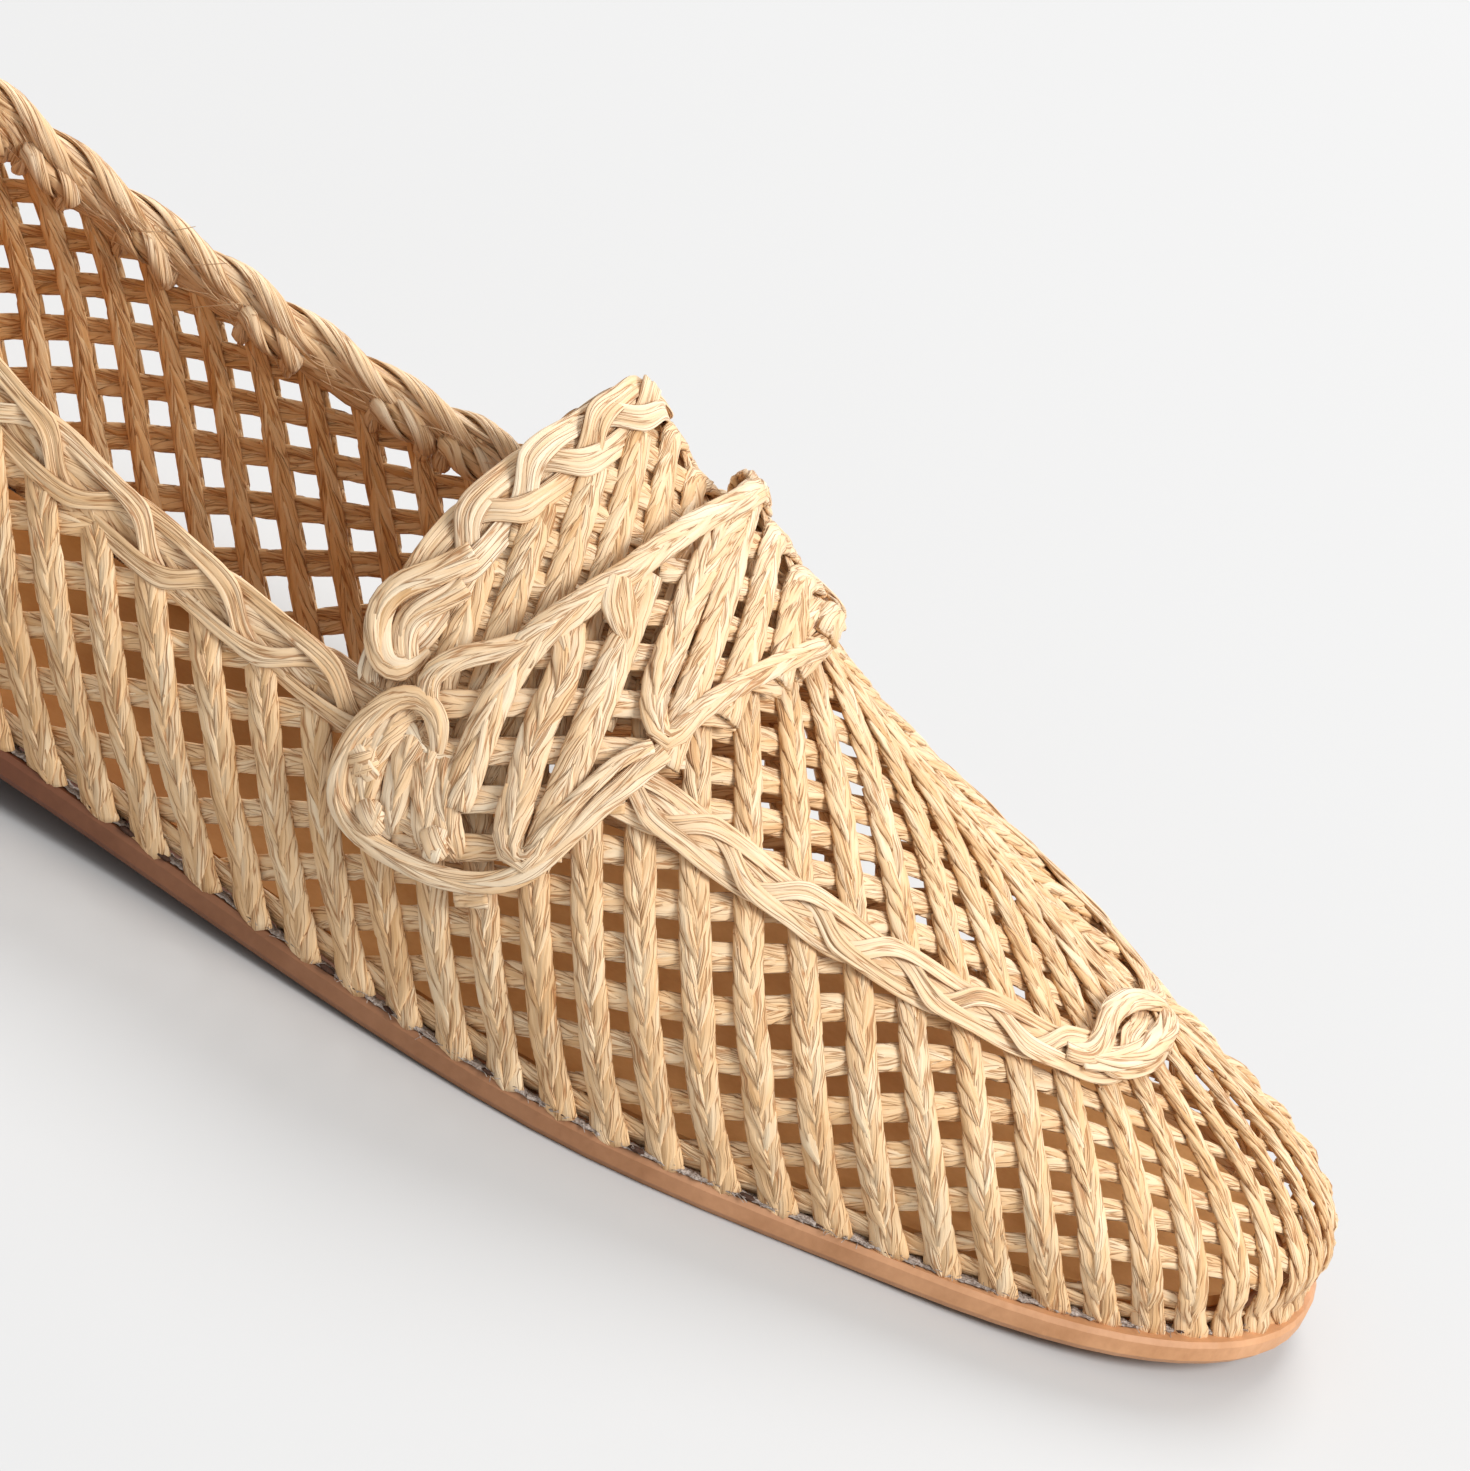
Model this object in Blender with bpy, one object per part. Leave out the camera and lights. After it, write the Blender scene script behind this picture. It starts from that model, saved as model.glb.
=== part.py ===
"""Woven moccasin, one right shoe: leather outsole with a low heel lift, leather
insole, one hollow woven upper, a woven tongue, a saddle strap and three braids.

Working sizes are millimetres. x runs from the heel end (0) to the toe (LENGTH),
y is 0 on the last's axis with the outer side of the foot negative, z is up from
the floor. The finished objects are in metres, with the origin on the floor under
the middle of the shoe's box and +X towards the toe.
"""
import math

import bmesh
import bpy
import numpy as np

# ---------------------------------------------------------------- named sizes
LENGTH = 252.0            # outsole, heel end to toe tip
SOLE_THICK = 3.6          # outsole leather
GAP = 0.3                 # clearance between pieces that meet
WALL = 2.8                # woven wall
INSOLE_THICK = 2.0
HEEL_BREAST = 62.0        # front face of the heel lift
TOE_CAP, HEEL_CAP = 49.0, 34.0      # length over which the outline rounds off
CAP_POWER = 2.2           # roundness of both ends
TOE_SWING = 1.5           # toe tip towards the inner side of the foot
HEEL_END, TOE_END = 1.6, 251.4      # upper's ends, at its widest level
TUCK_HEEL, TUCK_TOE = 1.4, 2.6      # lower edge drawn in under those ends
HEEL_HOLLOW = 0.0036      # curve of the heel's back line
HEEL_LEVEL = 26.0         # height of the heel's rearmost point
NOSE = 15.0               # length over which the crest drops to the toe
BRAID_WIDE, BRAID_THICK = 7.5, 4.0  # edge braids
BRAID_SINK = 1.8          # braid's middle below the wall's outer face
STRAP_IN, STRAP_OUT = 0.6, 3.2      # strap's faces above the wall
APRON_IN, APRON_OUT = 0.4, 2.6      # apron braid's faces above the wall
MM = 0.001

# ---------------------------------------------------------------- section tables
# half widths to the outer (lat) and inner (med) side, and height of the underside
SOLE = dict(
    x=[0, 30, 60, 85, 110, 135, 160, 178, 192, 210, 230, 252],
    lat=[31, 31.6, 32.4, 33.8, 36.6, 40.2, 42.0, 40.0, 37.6, 35.4, 34.5, 34.0],
    med=[30, 30.5, 29.5, 27.0, 27.0, 32.0, 38.6, 41.0, 40.2, 37.0, 34.0, 32.5],
    under=[6.0, 6.0, 5.6, 3.6, 1.5, 0.3, 0.0, 0.0, 0.1, 0.7, 1.8, 3.6])
# inset of the lower edge, belly beyond it and its height, crest of the last
UPPER = dict(
    x=[0, 30, 60, 90, 114, 125, 140, 160, 185, 208, 230, 252],
    inset=[2.0, 1.8, 1.5, 1.4, 1.4, 1.4, 1.4, 1.4, 1.6, 2.0, 2.4, 2.6],
    belly=[2.0, 2.5, 3.0, 3.4, 3.2, 3.0, 2.6, 2.2, 2.0, 2.0, 2.2, 2.4],
    belly_z=[20, 20, 20, 19, 18, 17, 16, 14, 12, 10, 8, 6.5],
    crest_z=[96, 96, 96, 92, 83, 76.6, 67.6, 54.6, 42.5, 32.8, 25.4, 20.4],
    crest_y=[0, 0, 1, 2, 3, 3, 3, 3, 2, 1, 0, 0],
    taper=[2.2, 2.3, 2.4, 2.1, 1.65, 1.45, 1.34, 1.26, 1.18, 1.1, 1.03, 1.0])
# height of the topline over the edge braid, on each side
COLLAR = dict(
    x=[0, 10, 20, 34, 54, 75, 95, 118, 132],
    lat=[66.5, 66.0, 64.0, 59.6, 53.0, 47.7, 43.8, 41.6, 41.2],
    med=[66.5, 66.3, 65.2, 62.0, 56.8, 53.6, 51.6, 50.6, 50.4])
# tongue: level q on the section (1 belly, 2 crest), x of its free edge and of the
# seam under the strap where it meets the vamp
THROAT = dict(
    q=[1.00, 1.12, 1.24, 1.36, 1.47, 1.65, 1.82, 2.00],
    edge=[117.5, 117.5, 117.6, 119.2, 121.4, 125.4, 128.6, 129.8],
    seam=[127.0, 127.0, 130.6, 136.0, 139.8, 144.6, 147.8, 149.0])
# saddle strap: its back and front edge at each level of the section
STRAP = dict(
    q=[1.02, 1.05, 1.10, 1.16, 1.22, 1.28, 1.38, 1.48, 1.60, 1.75, 1.90, 2.00],
    back=[123.5, 117.0, 113.2, 113.4, 117.0, 120.6, 126.0, 129.8, 133.4, 136.6, 138.3, 138.8],
    front=[130.5, 135.0, 138.6, 141.2, 142.8, 144.4, 147.8, 150.4, 153.6, 156.8, 158.6, 159.0])
# apron braid, middle line: x along the vamp and level q
APRON = dict(
    x=[149.0, 166, 186, 200, 208.5, 214.5, 217.6, 218.4],
    q=[1.325, 1.38, 1.43, 1.50, 1.58, 1.70, 1.86, 2.00])


def spline(xs, ys, x):
    """Natural cubic through a table's columns."""
    xs, ys, x = (np.asarray(v, float) for v in (xs, ys, x))
    n, h = len(xs), np.diff(xs)
    a, b = np.zeros((n, n)), np.zeros(n)
    a[0, 0] = a[-1, -1] = 1.0
    for i in range(1, n - 1):
        a[i, i - 1:i + 2] = h[i - 1], 2 * (h[i - 1] + h[i]), h[i]
        b[i] = 6 * ((ys[i + 1] - ys[i]) / h[i] - (ys[i] - ys[i - 1]) / h[i - 1])
    m = np.linalg.solve(a, b)
    i = np.clip(np.searchsorted(xs, x) - 1, 0, n - 2)
    d, hh = x - xs[i], h[i]
    return (ys[i] + d * ((ys[i + 1] - ys[i]) / hh - hh * (2 * m[i] + m[i + 1]) / 6)
            + d * d * m[i] / 2 + d ** 3 * (m[i + 1] - m[i]) / (6 * hh))


def column(table, name, x):
    return spline(table["x"], table[name], x)


def across(table, name, q):
    """Column of a table by level, the same on both sides, so smooth over the crest."""
    qs = list(table["q"]) + [4.0 - v for v in table["q"][-2::-1]]
    return float(spline(qs, list(table[name]) + list(table[name][-2::-1]), min(max(q, qs[0]), 2.0)))


def width(x, side):
    return np.where(side < 0, column(SOLE, "lat", x), column(SOLE, "med", x))


def under(x):
    return np.maximum(column(SOLE, "under", x), 0.0)


def axis_y(x):
    t = np.clip((x - 170) / (LENGTH - 170), 0, 1)
    return TOE_SWING * t * t * (3 - 2 * t)


def cap(x, lo, hi):
    """1 along the shoe, rounding off to 0 at both ends."""
    toe = np.clip((x - (hi - TOE_CAP)) / TOE_CAP, 0, 1)
    heel = np.clip((lo + HEEL_CAP - x) / HEEL_CAP, 0, 1)
    p = CAP_POWER
    return np.clip(1 - toe ** p, 0, 1) ** (1 / p) * np.clip(1 - heel ** p, 0, 1) ** (1 / p)


def ends(q):
    k = np.clip(1 - np.minimum(q, 1.0), 0, 1) ** 2
    return HEEL_END + TUCK_HEEL * k, TOE_END - TUCK_TOE * k


def station(x, q):
    lo, hi = ends(q)
    return (np.asarray(x, float) - lo) / (hi - lo)


def skin(u, q, side):
    """Outer face of the upper. u runs heel 0 to toe 1, q runs from the lower edge 0
    over the belly 1 to the crest 2, side is -1 outer and +1 inner."""
    u, q, side = np.broadcast_arrays(*(np.asarray(v, float) for v in (u, q, side)))
    lo, hi = ends(q)
    x = lo + (hi - lo) * u
    t, th = np.minimum(q, 1.0), np.clip(q - 1, 0, 1) * math.pi / 2
    c = cap(x, lo, hi)
    half = (width(x, side) - column(UPPER, "inset", x)
            + column(UPPER, "belly", x) * (1 - (1 - t) ** 2)) * c
    foot = under(x) + SOLE_THICK + GAP
    belly_z = column(UPPER, "belly_z", x)
    nose = np.clip((x - (TOE_END - NOSE)) / NOSE, 0, 1)
    rise = (column(UPPER, "crest_z", x) - foot - belly_z) * np.sqrt(np.clip(1 - nose ** 2, 0, 1))
    crest_y = column(UPPER, "crest_y", x) * c
    lean = np.cos(th) ** column(UPPER, "taper", x)
    lean = np.where(q >= 2, 0.0, lean)
    y = axis_y(x) + np.where(q <= 1, side * half, crest_y + (side * half - crest_y) * lean)
    z = foot + belly_z * t + rise * np.sin(th)
    fade = np.clip(1 - x / 60, 0, 1) ** 2
    return np.stack([x + fade * HEEL_HOLLOW * (z - HEEL_LEVEL) ** 2, y, z], -1)


def unit(v):
    return v / max(np.linalg.norm(v), 1e-12)


def frame_at(u, q, side):
    """Point on the outer face, with the directions along the shoe, up the section and outwards."""
    p = skin(u, q, side)
    qq = min(q, 1.95)
    if u < 1e-4:                                   # heel's back line
        up = unit(skin(0.0, qq + 0.01, side) - skin(0.0, qq - 0.01, side))
        along = np.array([0.0, -float(side), 0.0])
        return p, along, up, unit(np.array([-up[2], 0.0, up[0]]))
    h = min(1e-4, u / 3)
    along = unit(skin(u + h, qq, side) - skin(u - h, qq, side))
    up = unit(skin(u, qq + 0.01, side) - skin(u, qq - 0.01, side))
    out = unit(np.cross(along, up) * -float(side) * -1.0)
    if out @ (p - np.array([p[0], 0.0, 12.0])) < 0:
        out = -out
    if q > 1.9:                                    # both sides share the crest's normal
        other = np.array([out[0], -out[1], out[2]])
        out = unit(out * (2.1 - q) / 0.2 + other * (q - 1.9) / 0.2)
        up = unit(np.cross(np.cross(out, up), out))
    return p, along, up, out


def level_at(x, side, z, drop=0.0):
    """Level q where the section at x has the height z, less an arc length."""
    q = np.linspace(0.6, 1.99, 400)
    p = skin(station(x, q), q, side)
    k = np.interp(z, p[:, 2], q)
    s = np.r_[0, np.cumsum(np.linalg.norm(np.diff(p, axis=0), axis=1))]
    return float(np.interp(np.interp(k, q, s) - drop, s, q))


# ---------------------------------------------------------------- mesh helpers
class Sheet:
    """Open surface gathered from grids of points, joined where points coincide."""

    def __init__(self):
        self.points, self.index, self.faces = [], {}, []

    def add(self, p):
        key = tuple(int(round(c * 2000)) for c in p)
        if key not in self.index:
            self.index[key] = len(self.points)
            self.points.append(np.asarray(p, float))
        return self.index[key]

    def face(self, *ids):
        loop = [v for k, v in enumerate(ids) if v != ids[k - 1]]
        if len(set(loop)) > 2:
            self.faces.append(loop)

    def grid(self, rows, flip=False):
        ids = [[self.add(p) for p in row] for row in rows]
        for a, b in zip(ids, ids[1:]):
            for k in range(len(a) - 1):
                quad = (a[k], b[k], b[k + 1], a[k + 1])
                self.face(*(quad[::-1] if flip else quad))

    def vertex_normals(self):
        n = np.zeros((len(self.points), 3))
        for f in self.faces:
            p = [self.points[i] for i in f]
            for k, i in enumerate(f):
                a, b = unit(p[k - 1] - p[k]), unit(p[(k + 1) % len(f)] - p[k])
                ang = math.acos(max(-1.0, min(1.0, float(a @ b))))
                n[i] += ang * unit(np.cross(b, a))
        return np.array([unit(v) for v in n])

    def thick(self, inner, outer):
        """Closed solid between two offsets of the surface."""
        n = self.vertex_normals()
        top = [p + outer * k for p, k in zip(self.points, n)]
        low = [p + inner * k for p, k in zip(self.points, n)]
        m = len(top)
        faces = [list(f) for f in self.faces] + [[i + m for i in reversed(f)] for f in self.faces]
        edges = {}
        for f in self.faces:
            for k, i in enumerate(f):
                edges[(f[k - 1], i)] = True
        for a, b in list(edges):
            if (b, a) not in edges:
                faces.append([b, a, a + m, b + m])
        return top + low, faces


SOLIDS = []


def solid(name, points, faces, colour, rough, sharp=40.0):
    SOLIDS.append((name, [np.asarray(p, float) for p in points], faces, colour, rough, sharp))


def tube(rings):
    """Closed solid through rings of equal length, with flat ends."""
    n = len(rings[0])
    points = [p for r in rings for p in r]
    faces = []
    for i in range(len(rings) - 1):
        for k in range(n):
            a, b = i * n + k, i * n + (k + 1) % n
            faces.append([a, b, b + n, a + n])
    faces.append(list(range(n))[::-1])
    faces.append([(len(rings) - 1) * n + k for k in range(n)])
    return points, faces


def slab(outline, layers):
    """Plate on a closed outline of matched side points: outline gives the two lists
    from the heel end to the toe end, layers the drawn-in distance and height rule."""
    left, right = outline
    ring = list(left) + list(right[::-1])
    rings = []
    for inset, height in layers:
        row = []
        for k, p in enumerate(ring):
            a, b = ring[k - 1], ring[(k + 1) % len(ring)]
            t = unit(np.array([b[0] - a[0], b[1] - a[1]]))
            q = np.array([p[0] - t[1] * inset, p[1] + t[0] * inset])
            row.append(np.array([q[0], q[1], height(p[0])]))
        rings.append(row)
    n, m = len(ring), len(left)
    points = [p for r in rings for p in r]
    faces = []
    for i in range(len(rings) - 1):
        for k in range(n):
            a, b = i * n + k, i * n + (k + 1) % n
            faces.append([a, b, b + n, a + n])
    for base, flip in ((0, True), ((len(rings) - 1) * n, False)):
        for i in range(m - 1):
            f = [base + i, base + i + 1, base + n - 2 - i, base + n - 1 - i]
            faces.append(f[::-1] if flip else f)
    return points, faces


def ring_stations(count):
    """Stations heel to toe, close together where the outline turns."""
    return 0.5 * (1 - np.cos(np.linspace(0, math.pi, count)))


# ---------------------------------------------------------------- soles
LEATHER_EDGE, LEATHER_INSOLE = (0.40, 0.20, 0.10), (0.34, 0.17, 0.08)
STRAW, STRAW_BRAID, STRAW_STRAP = (0.74, 0.56, 0.33), (0.78, 0.61, 0.38), (0.76, 0.58, 0.36)


def sole_outline(lo, hi, draw, count, until=None):
    """Matched outer and inner edge points, drawn in from the outsole's edge."""
    sides = []
    for side in (-1, 1):
        row = []
        for u in ring_stations(count)[1:-1]:
            x = lo + (hi - lo) * u
            if until is None or x < until - 1.0:
                row.append(np.array([x, axis_y(x) + side * float(width(x, side) - draw) * cap(x, lo, hi)]))
        if until is not None:
            row.append(np.array([until, axis_y(until) + side * float(width(until, side) - draw) * cap(until, lo, hi)]))
        sides.append(row)
    tip = np.array([lo, float(axis_y(lo))])
    left, right = [tip + [0.0, -0.35]] + sides[0], [tip + [0.0, 0.35]] + sides[1]
    if until is None:
        end = np.array([hi, float(axis_y(hi))])
        left, right = left + [end + [0.0, -0.35]], right + [end + [0.0, 0.35]]
    return left, right


solid("outsole", *slab(sole_outline(0.0, LENGTH, 0.0, 50), [
    (0.7, lambda x: float(under(x))),
    (0.05, lambda x: float(under(x)) + 0.9),
    (0.05, lambda x: float(under(x)) + SOLE_THICK - 0.7),
    (0.5, lambda x: float(under(x)) + SOLE_THICK)]), LEATHER_EDGE, 0.55)

solid("heel", *slab(sole_outline(0.0, LENGTH, 0.0, 64, until=HEEL_BREAST), [
    (1.2, lambda x: 0.0),
    (0.7, lambda x: 0.7),
    (0.6, lambda x: float(under(x)) - GAP)]), LEATHER_EDGE, 0.6)

INSOLE_DRAW = WALL + 0.9
solid("insole", *slab(sole_outline(HEEL_END + TUCK_HEEL + INSOLE_DRAW, TOE_END - TUCK_TOE - INSOLE_DRAW,
                                   INSOLE_DRAW + 1.6, 44), [
    (0.3, lambda x: float(under(x)) + SOLE_THICK + GAP),
    (0.0, lambda x: float(under(x)) + SOLE_THICK + GAP + 0.6),
    (0.2, lambda x: float(under(x)) + SOLE_THICK + GAP + INSOLE_THICK)]), LEATHER_INSOLE, 0.6)

# ---------------------------------------------------------------- upper
ROWS_LOW, ROWS_QUARTER, ROWS_VAMP = 4, 4, 11
STEPS_QUARTER, STEPS_VAMP = 21, 25
TONGUE_X = THROAT["edge"][0]
SEAM_GAP = 1.2            # between tongue and vamp, under the strap


def seam_x(q):
    return across(THROAT, "seam", q)


def throat_x(q):
    return across(THROAT, "edge", q)


def wall_top(x, side):
    """Level of the wall's top edge under the collar braid."""
    z = float(np.where(side < 0, column(COLLAR, "lat", x), column(COLLAR, "med", x)))
    return level_at(x, side, z, BRAID_WIDE + GAP)


def corner(side):
    """Where the quarter's top edge runs into the seam of the tongue: x and level."""
    q = wall_top(THROAT["seam"][0], side)
    return seam_x(q), wall_top(seam_x(q), side)


upper = Sheet()
for side in (-1, 1):
    corner_x, corner_q = corner(side)
    low = [k / ROWS_LOW for k in range(ROWS_LOW)]

    def levels(top):
        return low + [1 + (top - 1) * k / ROWS_QUARTER for k in range(ROWS_QUARTER + 1)]

    quarter = []
    for i in range(STEPS_QUARTER + 1):
        share = 1 - math.cos(0.5 * math.pi * i / STEPS_QUARTER)
        top = wall_top(HEEL_END + (corner_x - HEEL_END) * share, side)
        quarter.append([skin(station(corner_x, q) * share, q, side) for q in levels(top)])
    upper.grid(quarter, flip=side > 0)
    rows = levels(corner_q)
    # even steps of arc from the corner's level up to the crest
    fine = np.linspace(corner_q, 2.0, 300)
    arc = skin(station(150.0, fine), fine, side)
    s = np.r_[0, np.cumsum(np.linalg.norm(np.diff(arc, axis=0), axis=1))]
    rows += [float(v) for v in np.interp(np.linspace(0, s[-1], ROWS_VAMP + 1)[1:], s, fine)]
    rows[-1] = 2.0
    vamp = []
    for i in range(STEPS_VAMP + 1):
        share = math.sin(0.5 * math.pi * i / STEPS_VAMP)
        line = []
        for q in rows:
            u0 = station(seam_x(q) if q > corner_q else corner_x, q)
            line.append(skin(u0 + (1 - u0) * share, q, side))
        vamp.append(line)
    upper.grid(vamp, flip=side > 0)
solid("upper", *upper.thick(-WALL, 0.0), STRAW, 0.75)

# ---------------------------------------------------------------- tongue
TONGUE_ROWS, TONGUE_COLUMNS = 14, 5
tongue = Sheet()
for side in (-1, 1):
    fine = np.linspace(1.0, 2.0, 300)
    arc = skin(station(135.0, fine), fine, side)
    s = np.r_[0, np.cumsum(np.linalg.norm(np.diff(arc, axis=0), axis=1))]
    rows = []
    for i in range(TONGUE_ROWS + 1):
        line = []
        for k in range(TONGUE_COLUMNS + 1):
            # lowest row follows the quarter's top edge, the last one the crest
            x_low = TONGUE_X + (corner(side)[0] - SEAM_GAP - TONGUE_X) * k / TONGUE_COLUMNS
            z = float(np.where(side < 0, column(COLLAR, "lat", x_low), column(COLLAR, "med", x_low)))
            start = np.interp(level_at(x_low, side, z, BRAID_WIDE + GAP - SEAM_GAP), fine, s)
            q = float(np.interp(start + (s[-1] - start) * i / TONGUE_ROWS, s, fine)) if i < TONGUE_ROWS else 2.0
            a, b = throat_x(q), seam_x(q) - SEAM_GAP
            line.append(skin(station(a + (b - a) * k / TONGUE_COLUMNS, q), q, side))
        rows.append(line)
    tongue.grid(rows, flip=side < 0)
solid("tongue", *tongue.thick(-WALL, 0.0), STRAW, 0.75)

# ---------------------------------------------------------------- edge braids
BRAID_SIDES = 10


def oval(middle, wide, thick):
    """Ring of an oval section across two directions."""
    return [middle + wide * math.cos(a) + thick * math.sin(a)
            for a in (2 * math.pi * k / BRAID_SIDES for k in range(BRAID_SIDES))]


rings = []
COLLAR_STEPS = 25
for side, order in ((-1, range(COLLAR_STEPS, 0, -1)), (1, range(0, COLLAR_STEPS + 1))):
    for i in order:
        share = 1 - math.cos(0.5 * math.pi * i / COLLAR_STEPS)
        x = HEEL_END + (TONGUE_X - GAP - HEEL_END) * share
        z = float(np.where(side < 0, column(COLLAR, "lat", x), column(COLLAR, "med", x)))
        q = level_at(x, side, z, BRAID_WIDE / 2)
        p, along, up, out = frame_at(float(station(x, q)) if i else 0.0, q, side)
        rings.append(oval(p - BRAID_SINK * out, up * (BRAID_WIDE / 2), out * (BRAID_THICK / 2)))
solid("collar_braid", *tube(rings), STRAW_BRAID, 0.75, 60)

rings = []
TONGUE_STEPS = 15
for side, order in ((-1, range(TONGUE_STEPS)), (1, range(TONGUE_STEPS, -1, -1))):
    z = float(np.where(side < 0, column(COLLAR, "lat", TONGUE_X), column(COLLAR, "med", TONGUE_X)))
    start = level_at(TONGUE_X - BRAID_WIDE / 2, side, z + 1.6)
    fine = np.linspace(start, 2.0, 300)
    arc = skin(station(120.0, fine), fine, side)
    s = np.r_[0, np.cumsum(np.linalg.norm(np.diff(arc, axis=0), axis=1))]
    for i in order:
        q = float(np.interp(s[-1] * i / TONGUE_STEPS, s, fine))
        p, along, up, out = frame_at(float(station(throat_x(q) - GAP - BRAID_WIDE / 2, q)), q, side)
        rings.append(oval(p - BRAID_SINK * out, along * (BRAID_WIDE / 2) * side, out * (BRAID_THICK / 2)))
# one ring direction along the whole arch
half = TONGUE_STEPS
rings = [r if k < half else [r[(BRAID_SIDES // 2 - j) % BRAID_SIDES] for j in range(BRAID_SIDES)]
         for k, r in enumerate(rings)]
solid("tongue_braid", *tube(rings), STRAW_BRAID, 0.75, 60)

# ---------------------------------------------------------------- apron braid
APRON_STEPS = 26
t = np.linspace(0, 1, len(APRON["x"]))
share = np.linspace(0, 1, 200)
path_x, path_q = spline(t, APRON["x"], share), np.minimum(spline(t, APRON["q"], share), 2.0)
sides = []
for side in (-1, 1):
    p = skin(station(path_x, path_q), path_q, side)
    s = np.r_[0, np.cumsum(np.linalg.norm(np.diff(p, axis=0), axis=1))]
    even = np.linspace(0, s[-1], APRON_STEPS + 1)
    sides.append([(float(np.interp(e, s, path_x)), float(np.interp(e, s, path_q)), side) for e in even])
line = sides[0] + sides[1][::-1][1:]
frames = [frame_at(float(station(x, q)), q, side) for x, q, side in line]
rings = []
for i, (p, along, up, out) in enumerate(frames):
    a, b = frames[max(i - 1, 0)][0], frames[min(i + 1, len(frames) - 1)][0]
    wide = unit(np.cross(out, unit(b - a)))
    half, mid = BRAID_WIDE / 2, (APRON_IN + APRON_OUT) / 2
    section = ((-1.0, mid), (-0.72, APRON_IN), (0.0, APRON_IN), (0.72, APRON_IN),
               (1.0, mid), (0.72, APRON_OUT - 0.25), (0.0, APRON_OUT), (-0.72, APRON_OUT - 0.25))
    rings.append([p + wide * (w * half) + out * h for w, h in section])
solid("apron_braid", *tube(rings), STRAW_BRAID, 0.75, 60)

# ---------------------------------------------------------------- saddle strap
STRAP_STEPS, STRAP_COLUMNS = 20, 7
strap = Sheet()
for side in (-1, 1):
    fine = np.linspace(STRAP["q"][0], 2.0, 400)
    arc = skin(station(140.0, fine), fine, side)
    s = np.r_[0, np.cumsum(np.linalg.norm(np.diff(arc, axis=0), axis=1))]
    rows = []
    for i in range(STRAP_STEPS + 1):
        f = i / STRAP_STEPS
        q = float(np.interp(s[-1] * (0.35 * f * f + 0.65 * f), s, fine)) if i < STRAP_STEPS else 2.0
        back, front = across(STRAP, "back", q), across(STRAP, "front", q)
        xs = [back + (front - back) * k / STRAP_COLUMNS for k in range(STRAP_COLUMNS + 1)]
        rows.append([skin(station(x, q), q, side) for x in xs])
    strap.grid(rows, flip=side < 0)
solid("strap", *strap.thick(STRAP_IN, STRAP_OUT), STRAW_STRAP, 0.75)


# ---------------------------------------------------------------- objects
for o in list(bpy.data.objects):
    bpy.data.objects.remove(o, do_unlink=True)

every = np.concatenate([np.array(points) for _, points, *_ in SOLIDS])
low, high = every.min(0), every.max(0)
ORIGIN = np.array([(low[0] + high[0]) / 2, (low[1] + high[1]) / 2, low[2]])

root = bpy.data.objects.new("moccasin", None)
bpy.context.scene.collection.objects.link(root)
for name, points, faces, colour, rough, sharp in SOLIDS:
    mesh = bpy.data.meshes.new(name)
    mesh.from_pydata([tuple(float(c) for c in (p - ORIGIN) * MM) for p in points], [], faces)
    bm = bmesh.new()
    bm.from_mesh(mesh)
    bmesh.ops.recalc_face_normals(bm, faces=bm.faces)
    bmesh.ops.triangulate(bm, faces=[f for f in bm.faces if len(f.verts) > 3])
    bm.to_mesh(mesh)
    bm.free()
    mesh.shade_smooth()
    mesh.set_sharp_from_angle(angle=math.radians(sharp))
    mat = bpy.data.materials.new(name)
    mat.use_nodes = True
    bsdf = mat.node_tree.nodes["Principled BSDF"]
    bsdf.inputs["Base Color"].default_value = (*colour, 1.0)
    bsdf.inputs["Roughness"].default_value = rough
    bsdf.inputs["Metallic"].default_value = 0.0
    mesh.materials.append(mat)
    obj = bpy.data.objects.new(name, mesh)
    obj.parent = root
    bpy.context.scene.collection.objects.link(obj)
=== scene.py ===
# Looks of a woven raffia moccasin: plaited wall, edge braids, saddle strap, leather soles and a pale stage.
import itertools
import math

import bpy
import numpy as np
from mathutils import Matrix, Vector


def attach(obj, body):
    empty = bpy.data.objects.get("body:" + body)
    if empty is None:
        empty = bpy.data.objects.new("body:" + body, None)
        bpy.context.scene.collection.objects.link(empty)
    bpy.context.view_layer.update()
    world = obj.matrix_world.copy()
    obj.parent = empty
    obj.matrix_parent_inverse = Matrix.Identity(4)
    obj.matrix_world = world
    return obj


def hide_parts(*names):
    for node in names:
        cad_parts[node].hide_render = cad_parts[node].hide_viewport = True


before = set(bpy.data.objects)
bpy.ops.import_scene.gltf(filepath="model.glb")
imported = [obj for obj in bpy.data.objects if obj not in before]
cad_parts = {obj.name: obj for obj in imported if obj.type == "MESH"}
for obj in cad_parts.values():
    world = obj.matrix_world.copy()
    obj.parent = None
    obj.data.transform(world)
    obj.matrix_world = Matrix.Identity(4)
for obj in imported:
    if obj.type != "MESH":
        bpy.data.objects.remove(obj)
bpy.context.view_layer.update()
rng = np.random.default_rng(41)

# ---------------------------------------------------------------- the last, in millimetres from the heel end
LENGTH = 252.0
SOLE_THICK = 3.6
GAP = 0.3
WALL = 2.8
TOE_CAP, HEEL_CAP = 49.0, 34.0
CAP_POWER = 2.2
TOE_SWING = 1.5
HEEL_END, TOE_END = 1.6, 251.4
TUCK_HEEL, TUCK_TOE = 1.4, 2.6
HEEL_HOLLOW = 0.0036
HEEL_LEVEL = 26.0
NOSE = 15.0
BRAID_WIDE, BRAID_THICK = 7.5, 4.0
BRAID_SINK = 1.8
ORIGIN = np.array([126.0, -1.53, 0.0])
MM = 0.001

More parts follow.
